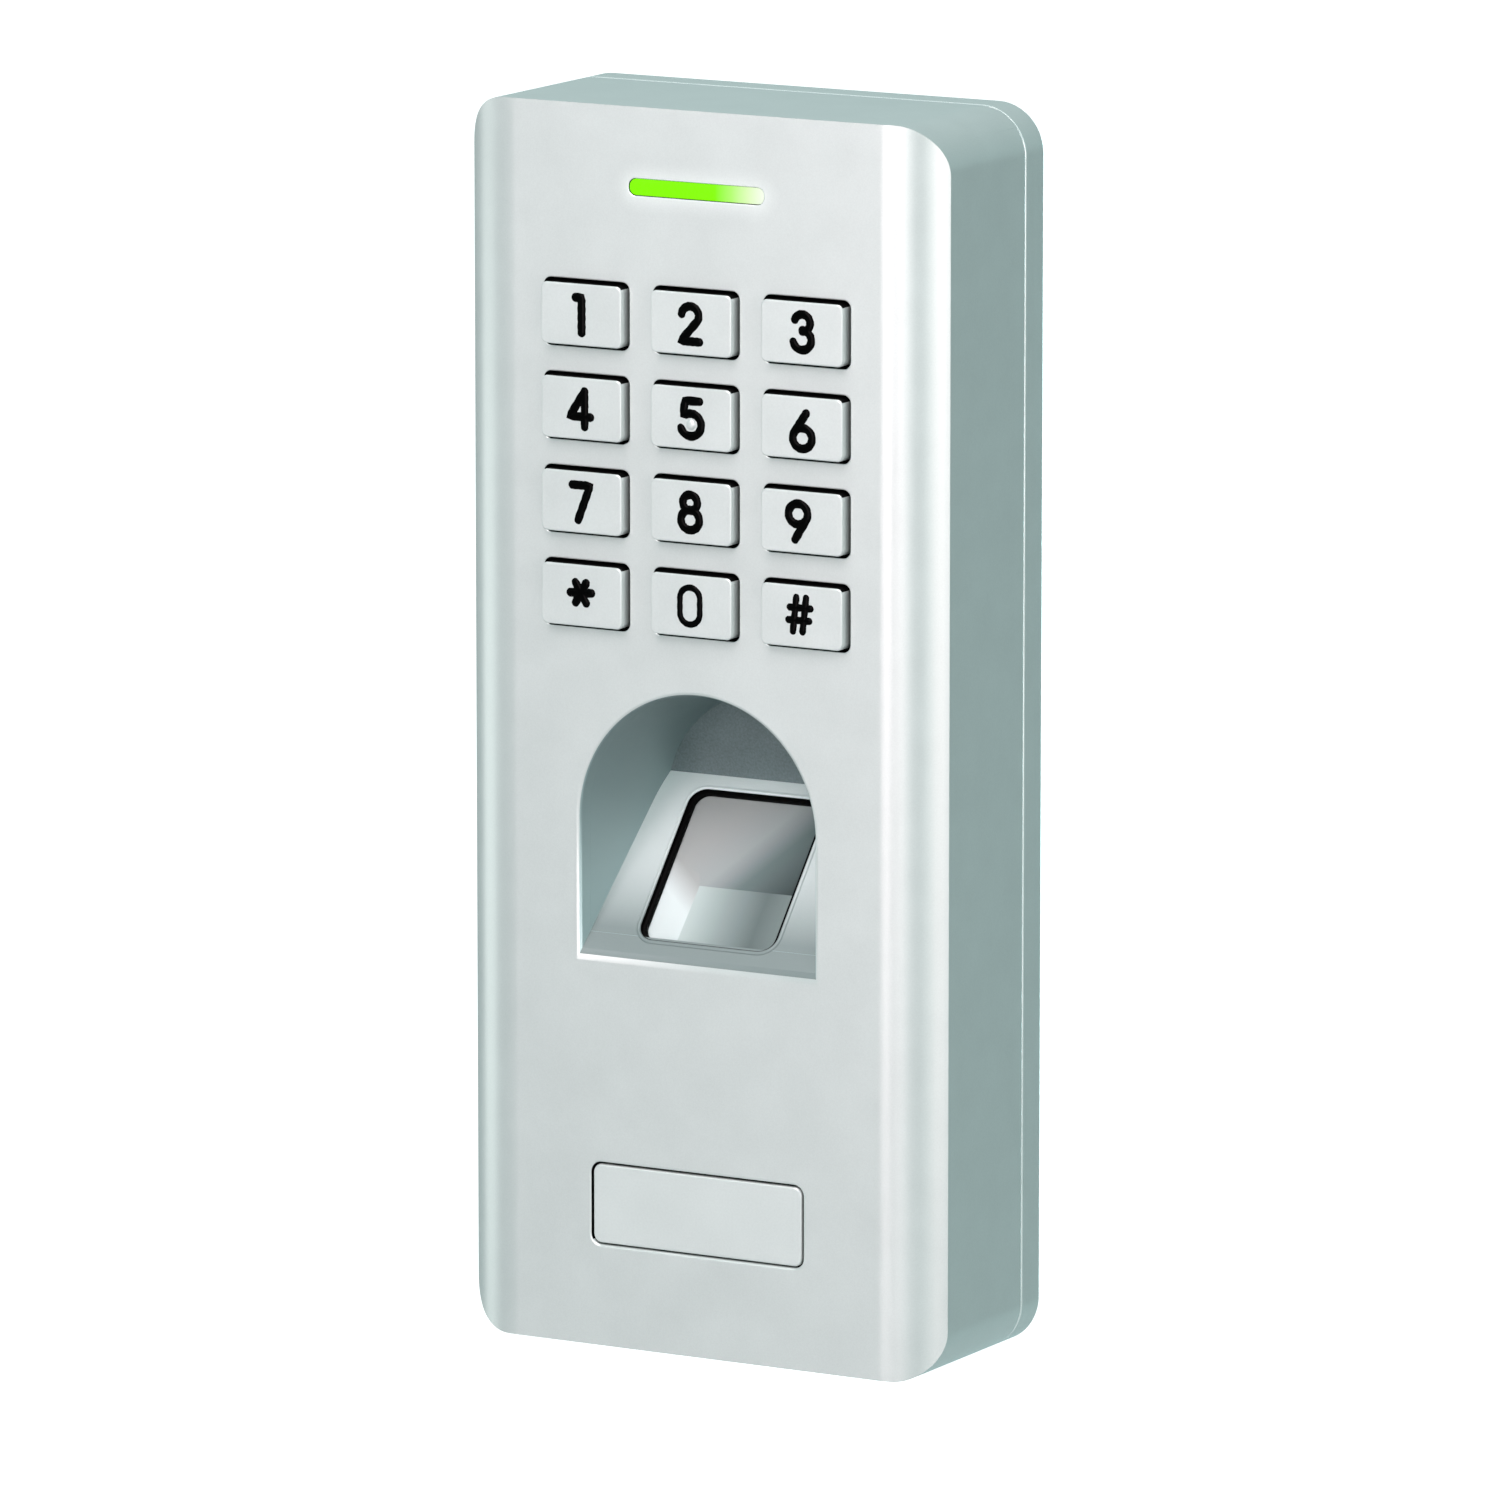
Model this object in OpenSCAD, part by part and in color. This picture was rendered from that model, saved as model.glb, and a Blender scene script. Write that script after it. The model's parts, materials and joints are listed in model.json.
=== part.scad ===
// Wall-mounted keypad and fingerprint reader.
// Units are millimetres. +Z is up and the front faces -Y.
// The origin is on the wall, at the middle of the wall plate's rear face.

/* [Housing] */
// Width across the side walls
body_w = 64.8; // [64.6:0.2:68]
// Height
body_h = 150.4; // [149:0.2:170]
// Depth from the wall to the flat of the front
body_d = 26.4; // [26.4:0.1:32]
// Radius of the four outline corners, seen from the front
corner_r = 6; // [5:0.5:8]
// Radius of the roll along each long side
roll_r = 10.5; // [9:0.5:12]
// How far the roll falls back before the crease
roll_drop = 3.35; // [3:0.05:4]
// Thickness of the die-cast side walls
wall_t = 2.2; // [2:0.1:2.6]
// Thickness of the die-cast front
front_t = 2.0; // [1.8:0.1:2.2]

/* [Keypad] */
// Distance between key columns
key_pitch_x = 15; // [14.8:0.1:15.3]
// Distance between key rows
key_pitch_z = 11.25; // [11:0.05:11.6]
// Height of the top row above the middle of the body
key_top_z = 50.05; // [49:0.05:52]
// Key cap width
key_w = 11; // [10.4:0.1:11.4]
// Key cap height
key_h = 7.4; // [7:0.1:7.8]
// How far a key stands out of the front
key_out = 1.3; // [1.1:0.1:1.6]
// Gap round each key
key_gap = 0.35; // [0.3:0.05:0.45]
// Travel of a key
key_travel = 0.8; // [0.5:0.1:1]

/* [Finger recess] */
// Radius of the arched opening
arch_r = 16.1; // [15.7:0.1:16.5]
// Height of the arch centre
arch_z = -10.85; // [-12:0.05:-10]
// Height of the sill
sill_z = -27.3; // [-28:0.1:-27]
// Depth of the recess
recess_d = 17; // [16.5:0.1:17]
// Radius of the arch at the back of the recess
arch_back_r = 13.7; // [13.3:0.1:14]
// Rise of the sloping floor over the recess depth
slope_rise = 19.7; // [19.2:0.1:20]

/* [Sensor] */
// Width of the sensor window opening
window_w = 18.8; // [18.2:0.1:19]
// Length of the sensor window opening along the slope
window_l = 21.3; // [20.8:0.1:21.4]
// Distance of the opening from the sill, along the slope
window_s = 2.7; // [2.4:0.1:2.8]

/* [Light bar and plate] */
// Light bar length
bar_l = 18.3; // [15:0.1:20]
// Light bar height
bar_h = 2.0; // [1.6:0.1:2.4]
// Height of the light bar
bar_z = 65.65; // [65:0.05:66.5]
// Nameplate pocket width
plate_w = 29.1; // [24:0.1:31]
// Nameplate pocket height
plate_h = 10.1; // [9:0.1:12]
// Height of the nameplate
plate_z = -57.75; // [-59:0.05:-55]

/* [Wall plate] */
// Depth of the wall plate's rim
rim_d = 4.6; // [4.4:0.1:4.6]
// Distance between the two fixing holes
fix_pitch = 83.3; // [60:0.1:84]
// Fixing hole diameter
fix_d = 4.2; // [3.8:0.1:4.6]
// Cable opening diameter in the wall plate
cable_hole_d = 18; // [14:0.5:19]
// Bore of the cable grommet
cable_d = 6.5; // [5:0.5:7]

/* [Hidden] */
$fn = 64;
eps = 0.02;
seam_y = -rim_d - 0.1;
front_y = -body_d;
front_in_y = front_y + front_t;
half_w = body_w / 2;
half_h = body_h / 2;
in_half_w = half_w - wall_t;
in_half_h = half_h - wall_t;
roll_run = sqrt(roll_r * roll_r - (roll_r - roll_drop) * (roll_r - roll_drop));
roll_x = half_w - roll_run;
roll_y = front_y + roll_r;
key_back_y = front_in_y + 0.1;
key_flange_t = 0.8;
mat_top_y = key_back_y + key_flange_t;
key_board_y = front_in_y + 3.8;
key_board_t = 1.2;
pillar_y = key_board_y + key_board_t;
main_board_y = front_y + 14.8;
main_board_t = 1.6;
cover_y = seam_y - 1.8;
cover_t = 1.6;
gasket_t = 0.4;
ledge_y = cover_y - gasket_t;
rebate = 1.0;
boss_x = half_w - 5;
boss_z = half_h - 5;
pillar_x = half_w - 7.2;
pillar_top_z = key_top_z + 10.2;
pillar_low_z = 12.5;
board_half_w = half_w - 4;
board_top_z = half_h - 3.8;
board_low_z = 9.6;
slope_a = atan(slope_rise / recess_d);
slope_l = sqrt(recess_d * recess_d + slope_rise * slope_rise);
insert_t = 1.4;
ear_x = arch_r + 5.4;
ear_top_z = arch_z + 9;
ear_low_z = arch_z - 8.5;
ear_y = front_in_y + 2.6;
mod_s0 = window_s + 0.2;
mod_s1 = window_s + window_l + 0.1;
mod_half_w = window_w / 2 + 1.2;
mod_t0 = 1.3;
mod_t1 = 4.2;
mod_board_t = 0.8;
mod_ear_x = mod_half_w + 2.1;
ear_n = 3.1;
lug_half_w = 5;
lock_y = cover_y - 2.4;
hook_x = 15;
hook_half_w = 3;
cable_z = -58;
tamper_z = 30;

metal = [0.82, 0.86, 0.85];
key_metal = [0.84, 0.86, 0.86];
grey_plastic = [0.62, 0.67, 0.67];
black_plastic = [0.08, 0.08, 0.09];
rubber_black = [0.05, 0.05, 0.05];
board_green = [0.06, 0.32, 0.18];
steel = [0.7, 0.7, 0.72];
brass = [0.8, 0.66, 0.32];

// ---- shared shapes ----

// Flat rounded rectangle, centred.
module rounded_rect(w, h, r) {
    square([w - 2 * r, h], center = true);
    square([w, h - 2 * r], center = true);
    for (sx = [-1, 1]) for (sy = [-1, 1]) {
        translate([sx * (w / 2 - r), sy * (h / 2 - r)]) circle(r = r);
    }
}

// Rounded rectangle standing in the XZ plane, filling y0 to y1.
module slab(w, h, r, y0, y1) {
    translate([0, y1, 0]) rotate([90, 0, 0]) linear_extrude(height = y1 - y0) rounded_rect(w, h, r);
}

// Cylinder along Y, filling y0 to y1.
module y_rod(d, y0, y1) {
    translate([0, y1, 0]) rotate([90, 0, 0]) cylinder(d = d, h = y1 - y0);
}

// Box given by its two corners.
module box(x0, x1, y0, y1, z0, z1) {
    translate([x0, y0, z0]) cube([x1 - x0, y1 - y0, z1 - z0]);
}

// Front profile of the body seen from above, with rolled sides.
module roll_profile(half, run, r, centre_y, back_y) {
    translate([-run, centre_y - r]) square([2 * run, r]);
    for (sx = [-1, 1]) translate([sx * run, centre_y]) circle(r = r);
    translate([-half, centre_y - 3]) square([2 * half, back_y - centre_y + 3]);
}

// Solid body shape: rolled profile cut to the rounded outline.
module body_shape(inset, r_front, back_y) {
    intersection() {
        translate([0, 0, -half_h + inset]) linear_extrude(height = body_h - 2 * inset)
            roll_profile(half_w - inset + 1, roll_x, r_front, roll_y, back_y);
        slab(body_w - 2 * inset, body_h - 2 * inset, corner_r - inset, front_y - 1, back_y);
    }
}

// Places its children in the frame of the sloping floor:
// local x across, local y up the slope from the sill, local z out of the surface.
module on_slope() {
    translate([0, front_y, sill_z]) rotate([slope_a, 0, 0]) children();
}

// Tapering arch, grown by g on every side and filling depth y0 to y1.
module arch_shape(g, y0, y1) {
    r0 = arch_r + g - (y0 - front_y) * (arch_r - arch_back_r) / recess_d;
    r1 = arch_r + g - (y1 - front_y) * (arch_r - arch_back_r) / recess_d;
    translate([0, y0, arch_z]) rotate([-90, 0, 0]) cylinder(r1 = r0, r2 = r1, h = y1 - y0);
    translate([0, 0, sill_z - g]) linear_extrude(height = arch_z - sill_z + g)
        polygon([[-r0, y0], [r0, y0], [r1, y1], [-r1, y1]]);
}

// Everything below the sloping floor, lowered by g.
module below_slope(g) {
    on_slope() translate([-40, -60, -60 - g]) cube([80, 140, 60]);
}

// Bore along Y at x, z.
module y_bore(d, x, z, y0, y1) {
    translate([x, 0, z]) y_rod(d, y0, y1);
}

// Small pan-head screw along Y: head at y, pointing to -Y.
module y_screw(x, z, y, head_d, head_t, shank_d, shank_l) {
    translate([x, 0, z]) difference() {
        union() {
            y_rod(head_d, y, y + head_t);
            y_rod(shank_d, y - shank_l, y + eps);
        }
        for (a = [0, 90]) rotate([0, a, 0])
            translate([-head_d * 0.3, y + head_t * 0.5, -0.2]) cube([head_d * 0.6, head_t, 0.4]);
    }
}

// ---- housing ----

module front_housing() {
    color(metal) difference() {
        union() {
            difference() {
                body_shape(0, roll_r, seam_y);
                body_shape(wall_t, roll_r - front_t, seam_y + 1);
                slab(body_w - 2 * (wall_t - rebate), body_h - 2 * (wall_t - rebate),
                     corner_r - wall_t + rebate, ledge_y, seam_y + 1);
            }
            intersection() {
                body_shape(0.5, roll_r - 0.5, ledge_y);
                union() {
                    for (sx = [-1, 1]) for (sz = [-1, 1]) {
                        translate([sx * boss_x, 0, sz * boss_z]) y_rod(6.4, front_y, ledge_y);
                    }
                    for (sx = [-1, 1]) for (z = [pillar_top_z, pillar_low_z]) {
                        translate([sx * pillar_x, 0, z]) y_rod(5, front_in_y - 0.5, key_board_y);
                    }
                    for (sx = [-1, 1]) for (z = [ear_top_z, ear_low_z]) {
                        translate([sx * ear_x, 0, z]) y_rod(4.6, front_in_y - 0.5, ear_y);
                    }
                }
            }
        }
        for (row = [0:3]) for (col = [-1:1]) {
            translate([col * key_pitch_x, 0, key_top_z - row * key_pitch_z])
                slab(key_w + 2 * key_gap, key_h + 2 * key_gap, 0.9, front_y - 1, front_in_y + 0.5);
        }
        translate([0, 0, bar_z]) slab(bar_l, bar_h, bar_h * 0.45, front_y - 1, front_in_y + 0.5);
        translate([0, 0, plate_z]) slab(plate_w, plate_h, 1.3, front_y - 1, front_y + 0.7);
        arch_shape(0, front_y - 0.5, front_in_y + 0.5);
        for (sx = [-1, 1]) for (sz = [-1, 1]) {
            y_bore(2, sx * boss_x, sz * boss_z, ledge_y - 8, ledge_y + 1);
        }
        for (sx = [-1, 1]) for (z = [pillar_top_z, pillar_low_z]) {
            y_bore(2, sx * pillar_x, z, key_board_y - 3.4, key_board_y + 1);
        }
        for (sx = [-1, 1]) for (z = [ear_top_z, ear_low_z]) {
            y_bore(1.6, sx * ear_x, z, ear_y - 3, ear_y + 1);
        }
        translate([0, lock_y, -half_h - 1]) cylinder(d = 3.4, h = wall_t + 2);
        translate([0, lock_y, -half_h - 1]) cylinder(d = 6.2, h = 2);
    }
}

module finger_recess() {
    color(grey_plastic) difference() {
        union() {
            difference() {
                intersection() {
                    union() {
                        arch_shape(insert_t, front_in_y, front_y + recess_d + insert_t);
                        arch_shape(insert_t + 1.6, front_in_y, front_in_y + 1.2);
                        arch_shape(-0.1, front_y + 0.5, front_in_y + 0.1);
                    }
                    translate([-40, front_y + 0.5, sill_z - 0.2]) cube([80, 40, 60]);
                }
                below_slope(1.2);
            }
            for (sx = [-1, 1]) {
                for (z = [ear_top_z, ear_low_z]) {
                    translate([sx * ear_x, 0, z]) y_rod(4.4, ear_y, ear_y + 1.4);
                }
                box(sx * (ear_x - 4.2) - 4.2, sx * (ear_x - 4.2) + 4.2, ear_y, ear_y + 1.4,
                    ear_top_z - 1.4, ear_top_z + 1.4);
                box(sx * (ear_x - 3) - 3, sx * (ear_x - 3) + 3, ear_y, ear_y + 1.4,
                    ear_low_z - 1.4, ear_low_z + 1.4);
            }
            on_slope() for (sx = [-1, 1]) {
                translate([sx * mod_ear_x, 13, -ear_n + 0.05]) cylinder(d = 3.4, h = ear_n - 0.8);
            }
            on_slope() intersection() {
                translate([0, window_s + window_l / 2, -1.2]) linear_extrude(height = 1.4)
                    rounded_rect(window_w + 1, window_l + 1, 2.7);
                translate([-20, 0.9, -2]) cube([40, 40, 4]);
            }
        }
        difference() {
            arch_shape(0, front_y - 1, front_y + recess_d);
            below_slope(0);
            on_slope() translate([0, window_s + window_l / 2, -1]) linear_extrude(height = 1.2)
                rounded_rect(window_w + 1, window_l + 1, 2.7);
        }
        on_slope() translate([0, window_s + window_l / 2, -3]) linear_extrude(height = 6)
            rounded_rect(window_w, window_l, 2.2);
        on_slope() for (sx = [-1, 1]) {
            translate([sx * mod_ear_x, 13, -5]) cylinder(d = 1.5, h = 3.9);
        }
        for (sx = [-1, 1]) for (z = [ear_top_z, ear_low_z]) {
            y_bore(2.2, sx * ear_x, z, ear_y - 1, ear_y + 3);
        }
    }
}

module recess_screws() {
    color(steel) for (sx = [-1, 1]) for (z = [ear_top_z, ear_low_z]) {
        y_screw(sx * ear_x, z, ear_y + 1.4, 3.6, 1.2, 1.6, 4);
    }
}

// ---- sensor ----

module sensor_gasket() {
    color(rubber_black) on_slope() translate([0, window_s + window_l / 2, -mod_t0])
        linear_extrude(height = 0.7) difference() {
            rounded_rect(window_w, window_l, 2.2);
            rounded_rect(window_w - 1.2, window_l - 1.2, 1.8);
        }
}

module sensor_prism() {
    half = window_w / 2 - 0.7;
    s0 = window_s + 0.7;
    s1 = window_s + window_l - 0.7;
    color([0.75, 0.78, 0.78, 0.6]) on_slope() intersection() {
        rotate([90, 0, 90]) translate([0, 0, -half]) linear_extrude(height = 2 * half)
            polygon([[s0, -0.8], [s1, -0.8], [s1, -1.6], [s0 + 8.5, -2.7], [s0, -1.6]]);
        translate([0, (s0 + s1) / 2, -6]) linear_extrude(height = 6)
            rounded_rect(2 * half, s1 - s0, 1.7);
    }
}

module sensor_body() {
    color(black_plastic) on_slope() difference() {
        union() {
            translate([-mod_half_w, mod_s0, -mod_t1]) cube([2 * mod_half_w, mod_s1 - mod_s0, mod_t1 - mod_t0]);
            translate([-mod_ear_x, 11.2, -ear_n - 1]) cube([2 * mod_ear_x, 3.6, 1]);
            for (sx = [-1, 1]) translate([sx * mod_ear_x, 13, -ear_n - 1]) cylinder(d = 3.6, h = 1);
        }
        translate([-window_w / 2 + 0.6, window_s + 0.6, -mod_t1 - 1])
            cube([window_w - 1.2, window_l - 1.2, mod_t1 + 1]);
        for (sx = [-1, 1]) translate([sx * mod_ear_x, 13, -6]) cylinder(d = 2, h = 3);
    }
}

module sensor_board() {
    color(board_green) on_slope() difference() {
        translate([-mod_half_w, mod_s0, -mod_t1 - mod_board_t])
            cube([2 * mod_half_w, mod_s1 - mod_s0, mod_board_t]);
        for (sx = [-1, 1]) for (s = [mod_s0 + 1.6, mod_s1 - 1.6]) {
            translate([sx * (mod_half_w - 1.6), s, -7]) cylinder(d = 1.4, h = 4);
        }
    }
}

module sensor_camera() {
    color(black_plastic) on_slope() {
        translate([-3.6, 13.4, -mod_t1]) cube([7.2, 7.2, 0.7]);
        translate([0, 17, -mod_t1 + 0.6]) cylinder(d = 4.4, h = 0.7);
    }
}

module sensor_lights() {
    color([0.9, 0.95, 0.85]) on_slope() for (x = [-5, -1.7, 1.7, 5]) {
        translate([x - 0.8, 4, -mod_t1]) cube([1.6, 0.8, 0.7]);
    }
}

module sensor_screws() {
    color(steel) on_slope() for (sx = [-1, 1]) translate([sx * mod_ear_x, 13, 0]) {
        translate([0, 0, -ear_n - 2.05]) cylinder(d = 3.2, h = 1);
        translate([0, 0, -ear_n - 1.2]) cylinder(d = 1.5, h = 2.8);
    }
}

module sensor_ribbon() {
    back_y = front_y + recess_d + insert_t;
    low_z = sill_z + mod_s1 * sin(slope_a) - mod_t1 * cos(slope_a) + 0.25;
    color([0.75, 0.5, 0.2]) box(-5, 5, back_y + 0.3, back_y + 0.6, low_z, board_low_z + 3.2);
    color([0.9, 0.9, 0.86]) box(-6, 6, main_board_y + main_board_t, back_y + 0.5,
                                board_low_z + 1, board_low_z + 4.2);
}

// ---- light bar and nameplate ----

module light_bar() {
    color([0.6, 0.95, 0.3]) translate([0, 0, bar_z]) {
        slab(bar_l - 0.1, bar_h - 0.1, bar_h * 0.42, front_y + 0.05, front_in_y + 1);
        slab(bar_l + 3, bar_h + 2.4, 1, front_in_y, front_in_y + 1);
        slab(bar_l - 2, bar_h, 0.6, front_in_y, key_board_y - 1.4);
    }
}

module status_lights() {
    color([0.5, 1, 0.2]) for (x = [-6, -2, 2, 6]) {
        box(x - 1, x + 1, key_board_y - 0.9, key_board_y, bar_z - 0.7, bar_z + 0.7);
    }
}

module nameplate() {
    color(metal) translate([0, 0, plate_z]) {
        slab(plate_w - 0.4, plate_h - 0.4, 1.1, front_y + 0.1, front_y + 0.7);
    }
}

// ---- keys ----

// Stroke from a to b in the plane of the key face, seen from the front.
module stroke(a, b, w) {
    len = norm(b - a);
    translate(a) rotate(atan2(b[1] - a[1], b[0] - a[0]))
        translate([-w / 2, -w / 2]) square([len + w, w]);
}

// Ring segment about c, from angle a0 through sweep.
module ring(c, r, w, a0, sweep) {
    translate(c) difference() {
        intersection() {
            circle(r = r + w / 2);
            if (sweep < 360) {
                polygon(concat([[0, 0]], [for (i = [0:6]) 4 * r * [cos(a0 + sweep * i / 6), sin(a0 + sweep * i / 6)]]));
            } else {
                square(6 * r, center = true);
            }
        }
        circle(r = r - w / 2);
    }
}

// Plain numerals, 5 mm tall, centred.
module numeral(n) {
    w = 0.85;
    if (n == "1") {
        stroke([0.35, 2.1], [0.35, -2.1], w);
        stroke([0.35, 2.1], [-0.55, 2.1], w);
    }
    if (n == "2") {
        ring([0, 0.95], 1.2, w, -20, 185);
        stroke([1.13, 0.54], [-1.2, -2.1], w);
        stroke([-1.2, -2.1], [1.3, -2.1], w);
    }
    if (n == "3") {
        ring([0, 1.05], 1.1, w, -85, 225);
        ring([0, -1], 1.15, w, -140, 225);
    }
    if (n == "4") {
        stroke([0.6, 2.1], [-1.4, -0.9], w);
        stroke([-1.4, -0.9], [1.4, -0.9], w);
        stroke([0.6, 2.1], [0.6, -2.1], w);
    }
    if (n == "5") {
        stroke([1.1, 2.1], [-0.9, 2.1], w);
        stroke([-0.9, 2.0], [-1.05, 0.35], w);
        ring([-0.02, -0.77], 1.33, w, -145, 280);
    }
    if (n == "6" || n == "9") {
        rotate(n == "6" ? 0 : 180) {
            ring([0, -0.85], 1.3, w, 0, 360);
            stroke([-1.15, -0.3], [0.55, 2.1], w);
        }
    }
    if (n == "7") {
        stroke([-1.2, 2.1], [1.1, 2.1], w);
        stroke([1.05, 1.95], [-0.5, -2.15], w);
    }
    if (n == "8") {
        ring([0, 1.1], 1.0, w, 0, 360);
        ring([0, -0.95], 1.25, w, 0, 360);
    }
    if (n == "0") {
        ring([0, 0.85], 1.3, 0.5, 0, 180);
        ring([0, -0.85], 1.3, 0.5, 180, 180);
        stroke([-1.3, 0.85], [-1.3, -0.85], 0.5);
        stroke([1.3, 0.85], [1.3, -0.85], 0.5);
    }
    if (n == "*") {
        for (a = [0, 60, 120]) rotate(a) stroke([-1.5, 0], [1.5, 0], w);
    }
    if (n == "#") {
        for (x = [-0.65, 0.65]) stroke([x + 0.2, 1.8], [x - 0.2, -1.8], 0.6);
        for (z = [-0.75, 0.75]) stroke([-1.35, z], [1.35, z], 0.62);
    }
}

// One key: bevelled metal cap with a sunk numeral and a retaining flange.
module key_cap(col, row, n) {
    bevel = 0.3;
    face_y = front_y - key_out;
    color(key_metal) translate([(col - 1) * key_pitch_x, 0, key_top_z - row * key_pitch_z]) difference() {
        union() {
            intersection() {
                slab(key_w, key_h, 0.7, face_y, key_back_y + 0.1);
                linear_extrude(height = 20, center = true) polygon([
                    [-key_w / 2 + bevel, face_y], [key_w / 2 - bevel, face_y],
                    [key_w / 2, face_y + bevel], [key_w / 2, front_y + 3],
                    [-key_w / 2, front_y + 3], [-key_w / 2, face_y + bevel]]);
                rotate([90, 0, 90]) linear_extrude(height = 20, center = true) polygon([
                    [face_y, -key_h / 2 + bevel], [face_y, key_h / 2 - bevel],
                    [face_y + bevel, key_h / 2], [front_y + 3, key_h / 2],
                    [front_y + 3, -key_h / 2], [face_y + bevel, -key_h / 2]]);
            }
            slab(key_w + 2, key_h + 2, 1, key_back_y, key_back_y + key_flange_t);
        }
        translate([0, face_y + 0.3, 0]) rotate([90, 0, 0]) linear_extrude(height = 1) numeral(n);
    }
}

module key_1() { key_cap(0, 0, "1"); }
module key_2() { key_cap(1, 0, "2"); }
module key_3() { key_cap(2, 0, "3"); }
module key_4() { key_cap(0, 1, "4"); }
module key_5() {
    key_cap(1, 1, "5");
    color(key_metal) translate([0, 0, key_top_z - key_pitch_z - 0.75])
        y_rod(0.9, front_y - key_out - 0.15, front_y - key_out + 0.5);
}
module key_6() { key_cap(2, 1, "6"); }
module key_7() { key_cap(0, 2, "7"); }
module key_8() { key_cap(1, 2, "8"); }
module key_9() { key_cap(2, 2, "9"); }
module key_star() { key_cap(0, 3, "*"); }
module key_0() { key_cap(1, 3, "0"); }
module key_hash() { key_cap(2, 3, "#"); }

// ---- boards ----

module keypad_mat() {
    mat_z = key_top_z - 1.5 * key_pitch_z;
    color(rubber_black) difference() {
        union() {
            translate([0, 0, mat_z]) slab(2 * key_pitch_x + 13, 3 * key_pitch_z + 11, 1.5,
                                          key_board_y - 0.8, key_board_y);
            for (row = [0:3]) for (col = [-1:1]) {
                translate([col * key_pitch_x, 0, key_top_z - row * key_pitch_z])
                    y_rod(6, mat_top_y, key_board_y - 0.5);
            }
        }
        for (row = [0:3]) for (col = [-1:1]) {
            translate([col * key_pitch_x, 0, key_top_z - row * key_pitch_z])
                y_rod(3.6, key_board_y - 1.2, key_board_y + 1);
        }
        for (row = [0:3]) for (sx = [-1, 1]) {
            translate([sx * key_pitch_x / 2, 0, key_top_z - row * key_pitch_z])
                slab(2.6, 1.8, 0.4, key_board_y - 2, key_board_y + 1);
        }
    }
}

module backlights() {
    color([0.95, 0.95, 0.8]) for (row = [0:3]) for (sx = [-1, 1]) {
        translate([sx * key_pitch_x / 2, 0, key_top_z - row * key_pitch_z])
            box(-0.8, 0.8, key_board_y - 0.6, key_board_y, -0.4, 0.4);
    }
}

// Board outline with cut corners, y0 to y1.
module board(y0, y1) {
    difference() {
        box(-board_half_w, board_half_w, y0, y1, board_low_z, board_top_z);
        for (sx = [-1, 1]) {
            box(sx * board_half_w - 6, sx * board_half_w + 6, y0 - 1, y1 + 1, boss_z - 4.2, board_top_z + 1);
            for (z = [pillar_top_z, pillar_low_z]) y_bore(2.2, sx * pillar_x, z, y0 - 1, y1 + 1);
        }
        box(-hook_x - hook_half_w - 1, hook_x + hook_half_w + 1, y0 - 1, y1 + 1, board_top_z - 0.6, board_top_z + 1);
    }
}

module keypad_board() {
    color(board_green) board(key_board_y, key_board_y + key_board_t);
}

module main_board() {
    color(board_green) board(main_board_y, main_board_y + main_board_t);
}

module board_pillars() {
    color(brass) for (sx = [-1, 1]) for (z = [pillar_top_z, pillar_low_z]) {
        translate([sx * pillar_x, 0, z]) difference() {
            union() {
                y_rod(5, pillar_y, main_board_y);
                y_rod(2, key_board_y - 3, pillar_y + eps);
            }
            y_rod(2, main_board_y - 4, main_board_y + 1);
        }
    }
}

module board_screws() {
    color(steel) for (sx = [-1, 1]) for (z = [pillar_top_z, pillar_low_z]) {
        y_screw(sx * pillar_x, z, main_board_y + main_board_t, 3.8, 1.3, 2, 5);
    }
}

module board_header() {
    color(black_plastic) {
        box(-10, 10, pillar_y, main_board_y, board_top_z - 6, board_top_z - 1);
    }
}

module chips() {
    y = main_board_y + main_board_t;
    color(black_plastic) {
        box(-5, 5, y, y + 1.2, 42, 52);
        box(-17, -11, y, y + 1.2, 44, 49);
        box(11, 16, y, y + 1.2, 38, 44);
        box(-16, -12, y, y + 1, 24, 28);
    }
}

module relay() {
    color([0.12, 0.2, 0.5]) box(4, 14, pillar_y + 0.4, main_board_y, 22, 42);
}

module buzzer() {
    color(black_plastic) translate([-11, 0, 30]) difference() {
        y_rod(12, main_board_y - 7, main_board_y);
        y_rod(2, main_board_y - 8, main_board_y - 6);
    }
}

module capacitors() {
    color(steel) for (z = [46, 54]) translate([-16, 0, z]) y_rod(6.3, main_board_y - 6.5, main_board_y);
}

module wire_header() {
    color([0.9, 0.9, 0.86]) difference() {
        box(-17, 3, main_board_y - 6, main_board_y, board_low_z + 2, board_low_z + 9);
        box(-16, 2, main_board_y - 5, main_board_y - 1, board_low_z + 1, board_low_z + 7.5);
    }
}

module tamper_sensor() {
    y = main_board_y + main_board_t;
    color([0.15, 0.12, 0.12]) {
        box(-2, 2, y, y + 1.2, tamper_z - 2, tamper_z + 2);
        translate([0, 0, tamper_z]) y_rod(3, y + 1, y + 2.2);
    }
}

// ---- rear cover ----

module rear_cover() {
    w = body_w - 2 * (wall_t - rebate) - 0.3;
    h = body_h - 2 * (wall_t - rebate) - 0.3;
    color(black_plastic) difference() {
        slab(w, h, corner_r - wall_t + rebate - 0.15, cover_y, cover_y + cover_t);
        for (sx = [-1, 1]) for (sz = [-1, 1]) {
            y_bore(2.8, sx * boss_x, sz * boss_z, cover_y - 1, cover_y + 3);
        }
        y_bore(9.4, 0, cable_z, cover_y - 1, cover_y + 3);
        y_bore(4, 0, tamper_z, cover_y - 1, cover_y + 3);
        box(-lug_half_w - 0.5, lug_half_w + 0.5, cover_y - 1, cover_y + 3, -half_h, -half_h + wall_t + 4.4);
        for (sx = [-1, 1]) box(sx * hook_x - hook_half_w - 0.5, sx * hook_x + hook_half_w + 0.5,
                               cover_y - 1, cover_y + 3, half_h - wall_t - 2.6, half_h);
    }
}

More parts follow.
